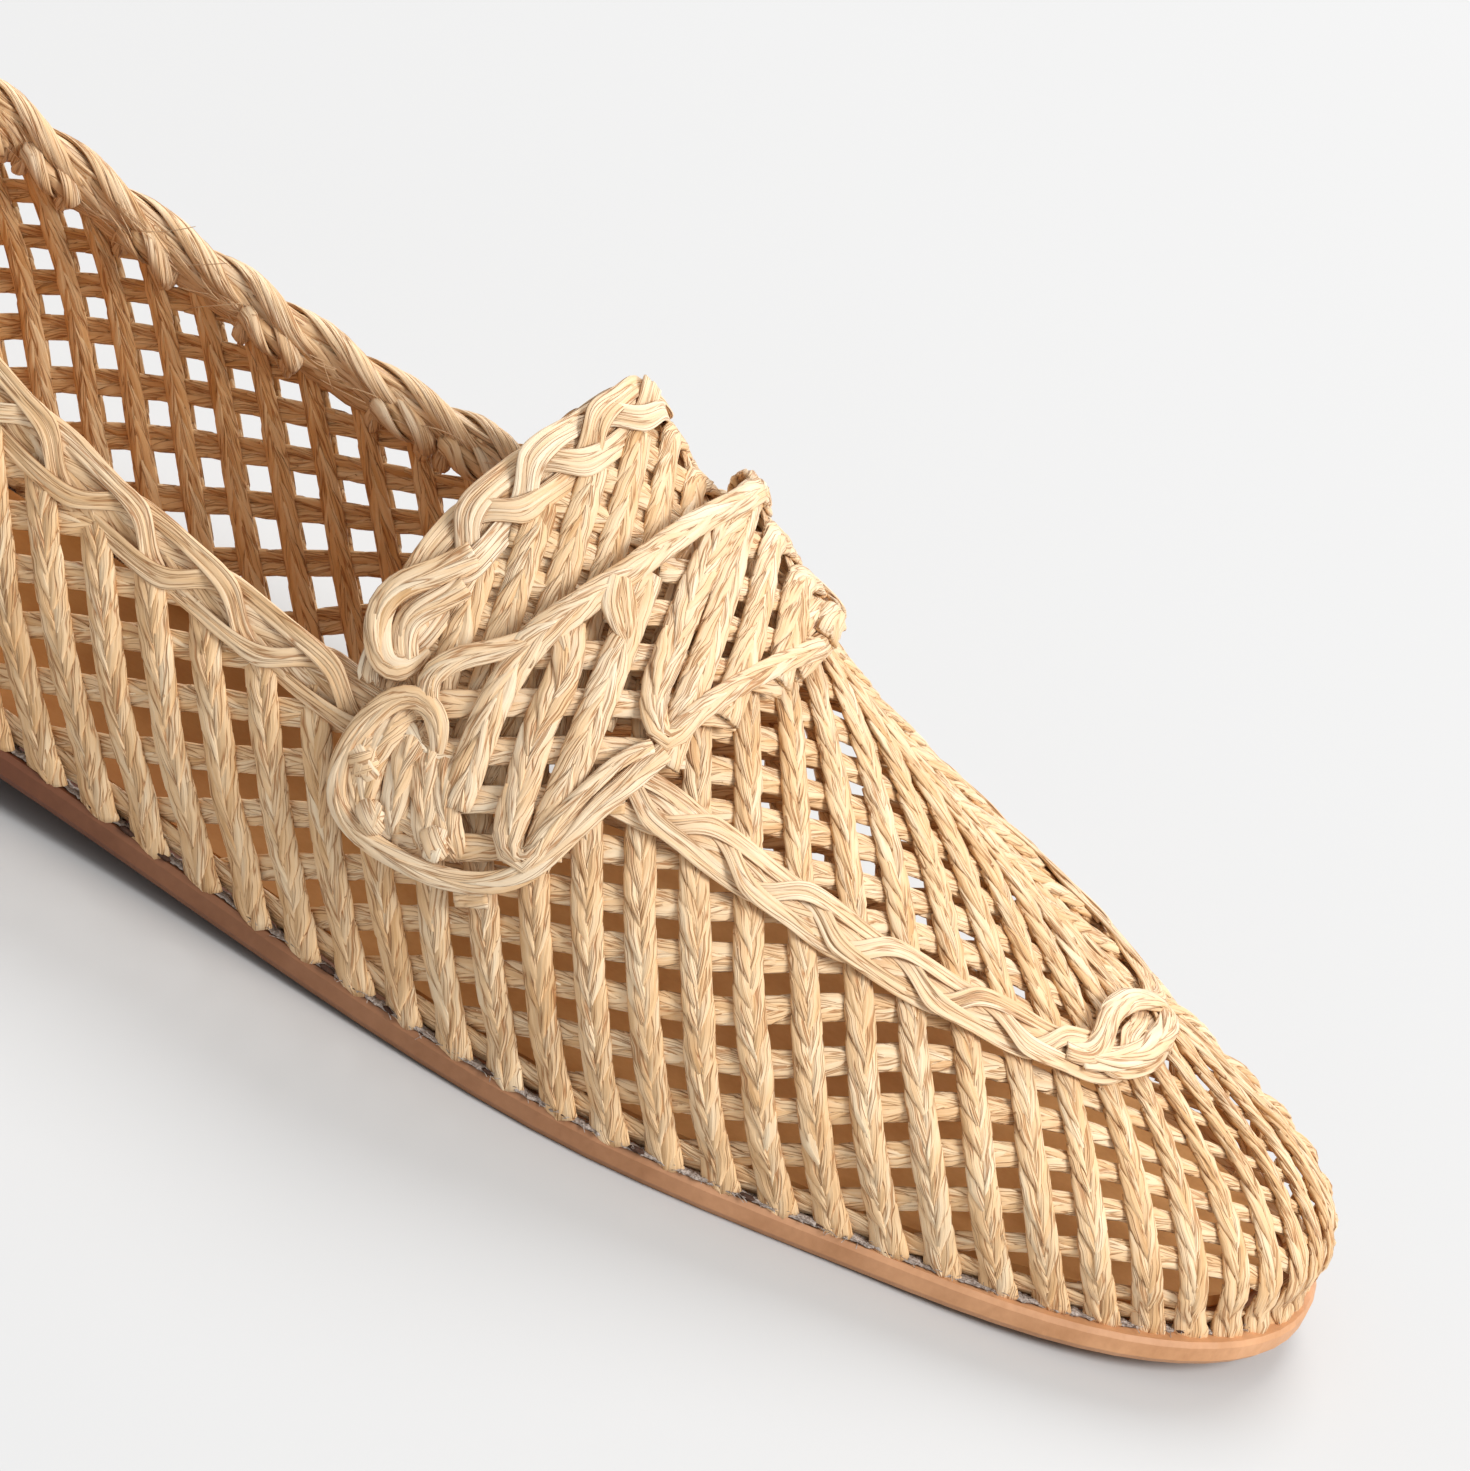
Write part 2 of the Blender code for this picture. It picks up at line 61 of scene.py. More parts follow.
SOLE = dict(
    x=[0, 30, 60, 85, 110, 135, 160, 178, 192, 210, 230, 252],
    lat=[31, 31.6, 32.4, 33.8, 36.6, 40.2, 42.0, 40.0, 37.6, 35.4, 34.5, 34.0],
    med=[30, 30.5, 29.5, 27.0, 27.0, 32.0, 38.6, 41.0, 40.2, 37.0, 34.0, 32.5],
    under=[6.0, 6.0, 5.6, 3.6, 1.5, 0.3, 0.0, 0.0, 0.1, 0.7, 1.8, 3.6])
UPPER = dict(
    x=[0, 30, 60, 90, 114, 125, 140, 160, 185, 208, 230, 252],
    inset=[2.0, 1.8, 1.5, 1.4, 1.4, 1.4, 1.4, 1.4, 1.6, 2.0, 2.4, 2.6],
    belly=[2.0, 2.5, 3.0, 3.4, 3.2, 3.0, 2.6, 2.2, 2.0, 2.0, 2.2, 2.4],
    belly_z=[20, 20, 20, 19, 18, 17, 16, 14, 12, 10, 8, 6.5],
    crest_z=[96, 96, 96, 92, 83, 76.6, 67.6, 54.6, 42.5, 32.8, 25.4, 20.4],
    crest_y=[0, 0, 1, 2, 3, 3, 3, 3, 2, 1, 0, 0],
    taper=[2.2, 2.3, 2.4, 2.1, 1.65, 1.45, 1.34, 1.26, 1.18, 1.1, 1.03, 1.0])
COLLAR = dict(
    x=[0, 10, 20, 34, 54, 75, 95, 118, 132],
    lat=[66.5, 66.0, 64.0, 59.6, 53.0, 47.7, 43.8, 41.6, 41.2],
    med=[66.5, 66.3, 65.2, 62.0, 56.8, 53.6, 51.6, 50.6, 50.4])
THROAT = dict(
    q=[1.00, 1.12, 1.24, 1.36, 1.47, 1.65, 1.82, 2.00],
    edge=[117.5, 117.5, 117.6, 119.2, 121.4, 125.4, 128.6, 129.8],
    seam=[127.0, 127.0, 130.6, 136.0, 139.8, 144.6, 147.8, 149.0])
STRAP = dict(
    q=[1.02, 1.05, 1.10, 1.16, 1.22, 1.28, 1.38, 1.48, 1.60, 1.75, 1.90, 2.00],
    back=[123.5, 117.0, 113.2, 113.4, 117.0, 120.6, 126.0, 129.8, 133.4, 136.6, 138.3, 138.8],
    front=[130.5, 135.0, 138.6, 141.2, 142.8, 144.4, 147.8, 150.4, 153.6, 156.8, 158.6, 159.0])
APRON = dict(
    x=[144.0, 151.6, 165, 186, 200, 208, 213.6, 216.8, 217.6],
    q=[1.352, 1.391, 1.435, 1.500, 1.582, 1.655, 1.752, 1.885, 2.00])


def spline(xs, ys, x):
    """Natural cubic through a table's columns."""
    xs, ys, x = (np.asarray(v, float) for v in (xs, ys, x))
    n, h = len(xs), np.diff(xs)
    a, b = np.zeros((n, n)), np.zeros(n)
    a[0, 0] = a[-1, -1] = 1.0
    for i in range(1, n - 1):
        a[i, i - 1:i + 2] = h[i - 1], 2 * (h[i - 1] + h[i]), h[i]
        b[i] = 6 * ((ys[i + 1] - ys[i]) / h[i] - (ys[i] - ys[i - 1]) / h[i - 1])
    m = np.linalg.solve(a, b)
    i = np.clip(np.searchsorted(xs, x) - 1, 0, n - 2)
    d, hh = x - xs[i], h[i]
    return (ys[i] + d * ((ys[i + 1] - ys[i]) / hh - hh * (2 * m[i] + m[i + 1]) / 6)
            + d * d * m[i] / 2 + d ** 3 * (m[i + 1] - m[i]) / (6 * hh))


def column(table, name, x):
    return spline(table["x"], table[name], x)


def across(table, name, q):
    """Column of a table by level, mirrored over the crest so that it is smooth there."""
    qs = list(table["q"]) + [4.0 - v for v in table["q"][-2::-1]]
    return spline(qs, list(table[name]) + list(table[name][-2::-1]), np.clip(q, qs[0], 2.0))


def width(x, side):
    return np.where(side < 0, column(SOLE, "lat", x), column(SOLE, "med", x))


def under(x):
    return np.maximum(column(SOLE, "under", x), 0.0)


def axis_y(x):
    t = np.clip((x - 170) / (LENGTH - 170), 0, 1)
    return TOE_SWING * t * t * (3 - 2 * t)


def cap(x, lo, hi):
    toe = np.clip((x - (hi - TOE_CAP)) / TOE_CAP, 0, 1)
    heel = np.clip((lo + HEEL_CAP - x) / HEEL_CAP, 0, 1)
    p = CAP_POWER
    return np.clip(1 - toe ** p, 0, 1) ** (1 / p) * np.clip(1 - heel ** p, 0, 1) ** (1 / p)


def ends(q):
    k = np.clip(1 - np.minimum(q, 1.0), 0, 1) ** 2
    return HEEL_END + TUCK_HEEL * k, TOE_END - TUCK_TOE * k


def station(x, q):
    lo, hi = ends(q)
    return (np.asarray(x, float) - lo) / (hi - lo)


def skin(u, q, side):
    """Outer face of the upper: u heel 0 to toe 1, q lower edge 0, belly 1, crest 2, side -1 outer and +1 inner."""
    u, q, side = np.broadcast_arrays(*(np.asarray(v, float) for v in (u, q, side)))
    lo, hi = ends(q)
    x = lo + (hi - lo) * u
    t, th = np.minimum(q, 1.0), np.clip(q - 1, 0, 1) * math.pi / 2
    c = cap(x, lo, hi)
    half = (width(x, side) - column(UPPER, "inset", x)
            + column(UPPER, "belly", x) * (1 - (1 - t) ** 2)) * c
    foot = under(x) + SOLE_THICK + GAP
    belly_z = column(UPPER, "belly_z", x)
    nose = np.clip((x - (TOE_END - NOSE)) / NOSE, 0, 1)
    rise = (column(UPPER, "crest_z", x) - foot - belly_z) * np.sqrt(np.clip(1 - nose ** 2, 0, 1))
    crest_y = column(UPPER, "crest_y", x) * c
    lean = np.cos(th) ** column(UPPER, "taper", x)
    lean = np.where(q >= 2, 0.0, lean)
    y = axis_y(x) + np.where(q <= 1, side * half, crest_y + (side * half - crest_y) * lean)
    z = foot + belly_z * t + rise * np.sin(th)
    fade = np.clip(1 - x / 60, 0, 1) ** 2
    return np.stack([x + fade * HEEL_HOLLOW * (z - HEEL_LEVEL) ** 2, y, z], -1)


def level_at(x, side, z, drop=0.0):
    """Level q where the section at x has the height z, less an arc length."""
    q = np.linspace(0.6, 1.99, 400)
    p = skin(station(x, q), q, side)
    k = np.interp(z, p[:, 2], q)
    s = np.r_[0, np.cumsum(np.linalg.norm(np.diff(p, axis=0), axis=1))]
    return float(np.interp(np.interp(k, q, s) - drop, s, q))


def topline(x, side):
    return float(column(COLLAR, "lat" if side < 0 else "med", x))


def unit(v):
    return v / np.maximum(np.linalg.norm(v, axis=-1, keepdims=True), 1e-12)


def ease(t):
    t = np.clip(t, 0, 1)
    return t * t * (3 - 2 * t)


# ---------------------------------------------------------------- the wall as one sheet, outer side, crest, inner side
NU, NLOW, NHIGH = 400, 36, 70
U = 0.5 * (1 - np.cos(np.linspace(0, math.pi, NU)))
Q = np.r_[np.linspace(0, 1, NLOW), np.linspace(1, 2, NHIGH)[1:]]
MID = len(Q) - 1
NV = 2 * len(Q) - 1
UU, QQ = np.meshgrid(U, Q, indexing="ij")
SHEET = np.concatenate([skin(UU, QQ, -1.0), skin(UU, QQ, 1.0)[:, -2::-1]], 1)
NORMAL = np.cross(np.gradient(SHEET, axis=0), np.gradient(SHEET, axis=1))
for row, near in ((NU - 1, NU - 2), (0, 1)):
    thin = np.linalg.norm(NORMAL[row], axis=-1) < 1e-6
    NORMAL[row][thin] = NORMAL[near][thin]
NORMAL = unit(NORMAL)


def at(f, g, what=SHEET):
    """Bilinear look-up in the sheet at grid places f, g."""
    f, g = np.clip(f, 0, NU - 1.0001), np.clip(g, 0, NV - 1.0001)
    i, j = f.astype(int), g.astype(int)
    a, b = (f - i)[:, None], (g - j)[:, None]
    return ((1 - a) * (1 - b) * what[i, j] + a * (1 - b) * what[i + 1, j]
            + (1 - a) * b * what[i, j + 1] + a * b * what[i + 1, j + 1])


def place(x, q, side):
    """Grid place of the point at x and level q on a side."""
    x, q = np.asarray(x, float), np.asarray(q, float)
    f = np.interp(station(x, q), U, np.arange(NU))
    g = np.interp(q, Q, np.arange(len(Q)))
    return f, np.where(np.asarray(side) < 0, g, NV - 1 - g)


# ---------------------------------------------------------------- field of the weave
# Each whole value is one plait. It climbs the outer side leaning back, crosses the crest and goes down the inner side;
# the second set is its mirror image.
TERMS = [k for k in itertools.product(range(5), repeat=3) if sum(k) <= 4]
WEIGHTS = [15.0653, -1.3623, -1.3310, -0.1260, -0.2157, 11.0870, -6.2005, 0.9032, 0.7948, 1.4508, -0.8913, 0.3333,
           -4.9581, 2.4906, -2.3437, 10.5634, -2.4951, -0.7253, -0.1679, -8.2371, -0.2490, -0.5774, 1.8802, 1.2845,
           3.0471, -1.8500, -0.1768, -0.0778, 0.6860, 0.0721, -0.1047, 0.9519, 0.7801, 0.8685, 1.2391]
HEEL_TURN = 36.0


def unrolled(u, q, side):
    """Place on the last with the round of the heel laid out straight."""
    p = skin(u, q, side)
    fine = np.linspace(0, 0.16, 1200)
    line = skin(fine, 1.0, side)
    k = int(np.argmax(line[:, 0] > HEEL_TURN))
    line = line[:k + 1]
    d = np.r_[0, np.cumsum(np.hypot(np.diff(line[::-1, 0]), np.diff(line[::-1, 1])))]
    turn = fine[k]
    x = np.where(u < turn, np.interp(u, fine[:k + 1], (HEEL_TURN - d)[::-1]), p[..., 0])
    y = skin(np.maximum(u, turn), np.maximum(q, 1.0), side)[..., 1]
    return x, y, p[..., 2]


def weave_value(u, q, side):
    x, y, z = unrolled(u, q, side)
    x, y, z = (x - 126) / 126, y / 45, (z - 35) / 35
    return sum(w * x ** i * y ** j * z ** k for w, (i, j, k) in zip(WEIGHTS, TERMS))


FIELD = np.concatenate([weave_value(UU, QQ, -1.0), weave_value(UU, QQ, 1.0)[:, -2::-1]], 1)


def contours(field, level):
    """Level lines as lists of grid places."""
    above = field > level
    full = above[:-1, :-1].astype(int) + above[1:, :-1] + above[:-1, 1:] + above[1:, 1:]
    links = {}
    for i, j in np.argwhere((full > 0) & (full < 4)):
        i, j = int(i), int(j)
        corners = ((i, j), (i + 1, j), (i + 1, j + 1), (i, j + 1))
        cut = []
        for k in range(4):
            a, b = corners[k], corners[(k + 1) % 4]
            if above[a] != above[b]:
                cut.append((a, b) if a < b else (b, a))
        for k in range(0, len(cut), 2):
            links.setdefault(cut[k], []).append(cut[k + 1])
            links.setdefault(cut[k + 1], []).append(cut[k])
    lines, seen = [], set()
    for start in sorted(links, key=lambda e: (len(links[e]), e)):
        if start in seen:
            continue
        chain, now = [start], start
        seen.add(start)
        while True:
            ahead = [e for e in links[now] if e not in seen]
            if not ahead:
                break
            now = ahead[0]
            seen.add(now)
            chain.append(now)
        if len(chain) > 3:
            places = []
            for a, b in chain:
                t = (level - field[a]) / (field[b] - field[a])
                places.append((a[0] + (b[0] - a[0]) * t, a[1] + (b[1] - a[1]) * t))
            lines.append(np.array(places))
    # lines that meet on the nose line are one
    joined = True
    while joined:
        joined = False
        for a, b in itertools.combinations(range(len(lines)), 2):
            for first, second in itertools.product((lines[a], lines[a][::-1]), (lines[b], lines[b][::-1])):
                if first[-1, 0] > NU - 2.5 and second[0, 0] > NU - 2.5:
                    gap = at(first[-1:, 0], first[-1:, 1]) - at(second[:1, 0], second[:1, 1])
                    if np.linalg.norm(gap) < 1.5:
                        lines = [l for k, l in enumerate(lines) if k not in (a, b)] + [np.concatenate([first, second])]
                        joined = True
                        break
            if joined:
                break
    return lines


# what part of the sheet is wall: under the collar braid, and in front of the seam under the strap
def wall_mask():
    mask = np.zeros((NU, NV), bool)
    for side in (-1, 1):
        xs = np.linspace(0.5, 132, 70)
        tops = [level_at(x, side, topline(x, side), 4.2) for x in xs]
        x = (SHEET[:, :MID + 1] if side < 0 else SHEET[:, MID:][:, ::-1])[..., 0]
        low = QQ <= np.interp(x, xs, tops)
        seam = np.interp(QQ, np.linspace(1, 2, 80), across(THROAT, "seam", np.linspace(1, 2, 80)))
        part = np.where(x < 127.0, low, (QQ <= 1.12) | (x >= seam))
        if side < 0:
            mask[:, :MID + 1] = part
        else:
            mask[:, MID:] = part[:, ::-1]
    return mask


WALL_MASK = wall_mask().astype(float)


def runs(keep):
    """Stretches of True as (first, last + 1)."""
    edge = np.flatnonzero(np.diff(np.r_[0, keep.astype(int), 0]))
    return list(zip(edge[::2], edge[1::2]))


def spaced(points, step, *more):
    """Points at even steps along a line, with other columns carried along."""
    s = np.r_[0, np.cumsum(np.linalg.norm(np.diff(points, axis=0), axis=1))]
    n = max(int(round(s[-1] / step)), 3)
    e = np.linspace(0, s[-1], n + 1)
    take = lambda v: np.stack([np.interp(e, s, v[:, k]) for k in range(v.shape[1])], -1)
    return [take(points)] + [take(np.asarray(m, float).reshape(len(s), -1)) for m in more]


def smooth(v, times=3):
    v = v.copy()
    for _ in range(times):
        v[1:-1] = 0.25 * v[:-2] + 0.5 * v[1:-1] + 0.25 * v[2:]
    return v


def wander(n, reach, size):
    """Slow random drift along n steps."""
    k = max(int(n / reach) + 3, 4)
    return np.interp(np.linspace(0, k - 1, n), np.arange(k), rng.normal(0, size, k))


# ---------------------------------------------------------------- strands
# section of a flat strip, from its right border over the upper face to the left border and back underneath
ACROSS = np.array([1.0, 0.80, 0.0, -0.80, -1.0, -0.6, 0.6])
HEIGHT = np.array([0.0, 0.86, 1.0, 0.86, 0.0, -0.85, -0.85])


class Bundle:
    """Strands gathered as one mesh, with their own coordinates kept for the grain."""

    def __init__(self):
        self.points, self.faces, self.strand, self.tone, self.inner, self.border_shade = [], [], [], [], [], []
        self.count = 0

    def ribbon(self, mid, wide, thick, tone, inner=0.0, taper=0.9, dark=None):
        """Flat strip with rounded borders. Its upper face is folded a little up or down along the middle.
        dark gives the painted shade of its right and left border."""
        n, sides = len(mid), len(ACROSS)
        along = np.r_[0, np.cumsum(np.linalg.norm(np.diff(mid, axis=0), axis=1))]
        if taper:
            close = np.minimum(along, along[-1] - along) / taper
            shut = np.sqrt(np.clip(close * (2 - np.minimum(close, 1)), 0.04, 1))[:, None]
            shut[close[:, None] >= 1] = 1.0
            wide, thick = wide * shut, thick * shut
        height = np.tile(HEIGHT, (n, 1))
        height[:, 2] += wander(n, 6, 0.28)
        height[:, 1] += wander(n, 5, 0.16)
        height[:, 3] += wander(n, 5, 0.16)
        ring = mid[:, None] + wide[:, None] * ACROSS[None, :, None] + thick[:, None] * height[..., None]
        way = np.einsum("ij,ij->i", np.cross(wide, thick), np.gradient(mid, axis=0)).mean()
        i, j = (np.arange(n - 1) * sides)[:, None], np.arange(sides)[None]
        k = (j + 1) % sides
        quads = np.stack([i + j, i + k, i + sides + k, i + sides + j], -1).reshape(-1, 4) + self.count
        last = (n - 1) * sides + self.count
        caps = [[self.count + v for v in range(sides)][::-1], [last + v for v in range(sides)]]
        if way < 0:
            quads = quads[:, ::-1]
            caps = [f[::-1] for f in caps]
        self.faces += quads.tolist() + caps
        self.points.append(ring.reshape(-1, 3))
        half = np.linalg.norm(wide, axis=1)
        self.strand.append(np.stack([np.repeat(along, sides), (half[:, None] * ACROSS).ravel(),
                                     np.tile(0.3 * HEIGHT, n)], -1))
        self.tone.append(np.full(n * sides, tone))
        # undersides of the strip, by the given amount, take the painted shade of the shoe's inside
        self.inner.append(np.tile(np.clip(0.5 - 1.2 * HEIGHT, 0, 1), n) * inner)
        shade = np.zeros((n, sides))
        shade[:, 0], shade[:, 4] = dark if dark is not None else (0.6, 0.6)
        self.border_shade.append(shade.ravel())
        self.count += n * sides

    def build(self, name, material, slot, *nodes):
        mesh = bpy.data.meshes.new(name)
        mesh.from_pydata(((np.concatenate(self.points) - ORIGIN) * MM).tolist(), [], self.faces)
        mesh.attributes.new("strand", "FLOAT_VECTOR", "POINT").data.foreach_set("vector", np.concatenate(self.strand).ravel())
        mesh.attributes.new("tone", "FLOAT", "POINT").data.foreach_set("value", np.concatenate(self.tone))
        mesh.attributes.new("inner", "FLOAT", "POINT").data.foreach_set("value", np.concatenate(self.inner))
        mesh.attributes.new("border_shade", "FLOAT", "POINT").data.foreach_set("value", np.concatenate(self.border_shade))
        mesh.shade_smooth()
        mesh.materials.append(material)
        o = bpy.data.objects.new(name, mesh)
        bpy.context.scene.collection.objects.link(o)
        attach(o, "root")
        if nodes:
            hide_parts(*nodes)
        return o


def lesser(a, b, k):
    """The smaller of two curves, rounded over where they meet."""
    d = np.clip(0.5 + 0.5 * (b - a) / k, 0, 1)
    return b * (1 - d) + a * d - k * d * (1 - d)


def frame_along(mid, out):
    tangent = unit(np.gradient(mid, axis=0))
    side = unit(np.cross(out, tangent))
    return side, unit(np.cross(tangent, side))


def braid(bundle, mid, out, half, lift, thick, period, ribbons=2, inner=0.0, tone=0.5, roll=0.22, cover=0.46, square=1.9):
    """Broad braid of three strands along a line, each of some strips side by side. The strands lie along the
    borders, at half from the middle, and cross over quickly."""
    n = len(mid)
    one = np.ones(n)
    half, lift, thick = (one * v for v in (half, lift, thick))
    step = np.r_[0, np.linalg.norm(np.diff(mid, axis=0), axis=1)]
    pace = period * (1 + wander(n, 14, 0.06))
    turn = 2 * math.pi * (np.cumsum(step / pace) + rng.random())
    side, out = frame_along(mid, out)
    for i in range(3):
        t = turn + 2 * math.pi * i / 3
        sway = np.tanh(square * np.sin(t)) / math.tanh(square)
        edge = half * (1 + wander(n, 9, 0.05))
        y, w = (1.22 - cover) * half * sway, cover * half * (1 + wander(n, 7, 0.06))
        hi, lo = lesser(y + w, edge, 0.25 * half), -lesser(w - y, edge, 0.25 * half)
        # only borders that lie inside the braid are in a groove and get painted shade
        dark = [1 - ease((b / edge - 0.66) / 0.25) for b in (hi, -lo)]
        r = (roll * sway)[:, None]
        flat, up = side * np.cos(r) - out * np.sin(r), out * np.cos(r) + side * np.sin(r)
        shade = float(np.clip(tone + rng.normal(0, 0.13), 0, 1))
        rise = out * (lift * np.sin(2 * t))[:, None]
        cuts = np.arange(ribbons + 1) / ribbons
        cuts[1:-1] += rng.normal(0, 0.07, ribbons - 1)
        # painted shade of random depth in the seams between the strips
        seam_shade = rng.uniform(0.0, 0.6, ribbons + 1)
        for k in range(ribbons):
            middle = lo + (hi - lo) * 0.5 * (cuts[k] + cuts[k + 1])
            wide = (hi - lo) * 0.5 * (cuts[k + 1] - cuts[k]) * 1.22
            lie = up * (0.08 * rng.normal() + wander(n, 11, 0.06))[:, None]
            bundle.ribbon(mid + flat * middle[:, None] + rise + lie, flat * wide[:, None], up * thick[:, None],
                          float(np.clip(shade + rng.normal(0, 0.05), 0, 1)), inner,
                          dark=(dark[0] if k == ribbons - 1 else seam_shade[k + 1] * one, dark[1] if k == 0 else seam_shade[k] * one))


def twist(bundle, mid, out, radius, pitch, strands, wide, thick, tone, strips=3):
    """Strands wound round a line, each of some strips side by side."""
    side, up = frame_along(mid, out)
    n = len(mid)
    step = np.r_[0, np.linalg.norm(np.diff(mid, axis=0), axis=1)]
    turn = np.cumsum(step / (pitch * (1 + wander(n, 12, 0.10)))) + rng.random()
    for k in range(strands):
        a = 2 * math.pi * (turn + k / strands)[:, None]
        r = radius * (1 + wander(n, 9, 0.10))[:, None]
        radial, round_way = side * np.cos(a) + up * np.sin(a), up * np.cos(a) - side * np.sin(a)
        for j in range(strips):
            b = (j - 0.5 * (strips - 1)) * 2.9 / strips + wander(n, 10, 0.08)[:, None]
            face = radial * np.cos(b) + round_way * np.sin(b)
            flat = round_way * np.cos(b) - radial * np.sin(b)
            # painted shade along both borders of each strip
            bundle.ribbon(mid + radial * r + face * wide, flat * wide * 1.85 / strips, face * thick,
                          float(np.clip(tone + rng.normal(0, 0.10), 0, 1)), dark=(0.5, 0.3))


SHARE = np.linspace(0, 1, 7)


def plait(bundle, mid, out, half, lift, thick, period, inner=0.0, tone=0.5, roll=0.13, way=1):
    """Flat plait along a line, half its half width. Each visible turn of a strand is one strip: it lies along a border,
    comes in over the next and ends in a point on the middle. Its Vs point along the line, or back with way -1."""
    n = len(mid)
    one = np.ones(n)
    half, lift, thick = (one * v for v in (half, lift, thick))
    side, out = frame_along(mid, out)
    s = np.r_[0, np.cumsum(np.linalg.norm(np.diff(mid, axis=0), axis=1))]
    total, gap = s[-1], period / 3
    first = rng.random() * gap
    for hand in (-1, 1):
        begin = -2.4 * gap + first + (0.5 * gap if hand > 0 else 0.0)
        while begin < total:
            long = 2.4 * gap * (0.9 + 0.25 * rng.random())
            p0, p1 = max(0.0, -begin / long), min(1.0, (total - begin) / long)
            if (p1 - p0) * long > 0.7:
                p = p0 + (p1 - p0) * (SHARE if long < 12 else np.linspace(0, 1, int(long / 1.2)))
                where = begin + p * long
                place_s = np.interp(where if way > 0 else total - where, s, np.arange(n))
                i = np.minimum(place_s.astype(int), n - 2)
                a = place_s - i
                take = lambda v: v[i] * (1 - a[:, None]) + v[i + 1] * a[:, None]
                pick = lambda v: v[i] * (1 - a) + v[i + 1] * a
                h = pick(half) * (1 + rng.normal(0, 0.025))
                edge = h * (1 - 0.10 * (1 - ease(p / 0.14)) - ease((p - 0.43) / 0.59))
                core = h * (-0.10 + 0.05 * rng.normal() + 0.80 * (1 - ease(p / 0.32)))
                core = np.minimum(core, edge - 0.04)
                r = hand * roll + rng.normal(0, 0.04)
                sd, ot = take(side), take(out)
                flat, up = sd * math.cos(r) - ot * math.sin(r), ot * math.cos(r) + sd * math.sin(r)
                rise = pick(lift) * (-1 + 2.0 * ease(p / 0.62) - 0.8 * ease((p - 0.86) / 0.14))
                # painted shade on the borders: the outer one darkens where the strip comes in over the next and draws
                # the V lines, the inner one is half dark
                groove, middle = 0.95 * ease((p - 0.36) / 0.2), 0.55
                bundle.ribbon(take(mid) + flat * (hand * 0.5 * (edge + core))[:, None] + ot * rise[:, None],
                              flat * (0.5 * (edge - core))[:, None], up * pick(thick)[:, None],
                              float(np.clip(tone + rng.normal(0, 0.11), 0, 1)), inner, 0,
                              dark=(groove, middle) if hand > 0 else (middle, groove))
            begin += gap * (0.88 + 0.24 * rng.random())


def band(bundle, mid, out, half, thick, ribbons=2, tone=0.55, sway=0.0, pitch=9.0, inner=0.0, taper=0.9):
    """Flat strips lying side by side along a line."""
    n = len(mid)
    side, out = frame_along(mid, out)
    s = np.r_[0, np.cumsum(np.linalg.norm(np.diff(mid, axis=0), axis=1))]
    for k in range(ribbons):
        place_k = (2 * k + 1 - ribbons) / ribbons
        off = half * place_k * (1 + wander(n, 10, 0.08)) + sway * np.sin(2 * math.pi * s / pitch + math.pi * k)
        full = half / ribbons * 1.12 * (1 + wander(n, 8, 0.08))
        r = (0.25 * place_k + wander(n, 12, 0.10))[:, None]
        flat, up = side * np.cos(r) - out * np.sin(r), out * np.cos(r) + side * np.sin(r)
        # painted shade of random depth along both borders
        seam_shade = rng.uniform(0.1, 0.7, 2)
        bundle.ribbon(mid + side * off[:, None] + out * wander(n, 9, 0.08)[:, None], flat * (1.1 * full)[:, None], up * thick,
                      float(np.clip(tone + rng.normal(0, 0.12), 0, 1)), inner, taper, dark=(seam_shade[0], seam_shade[1]))


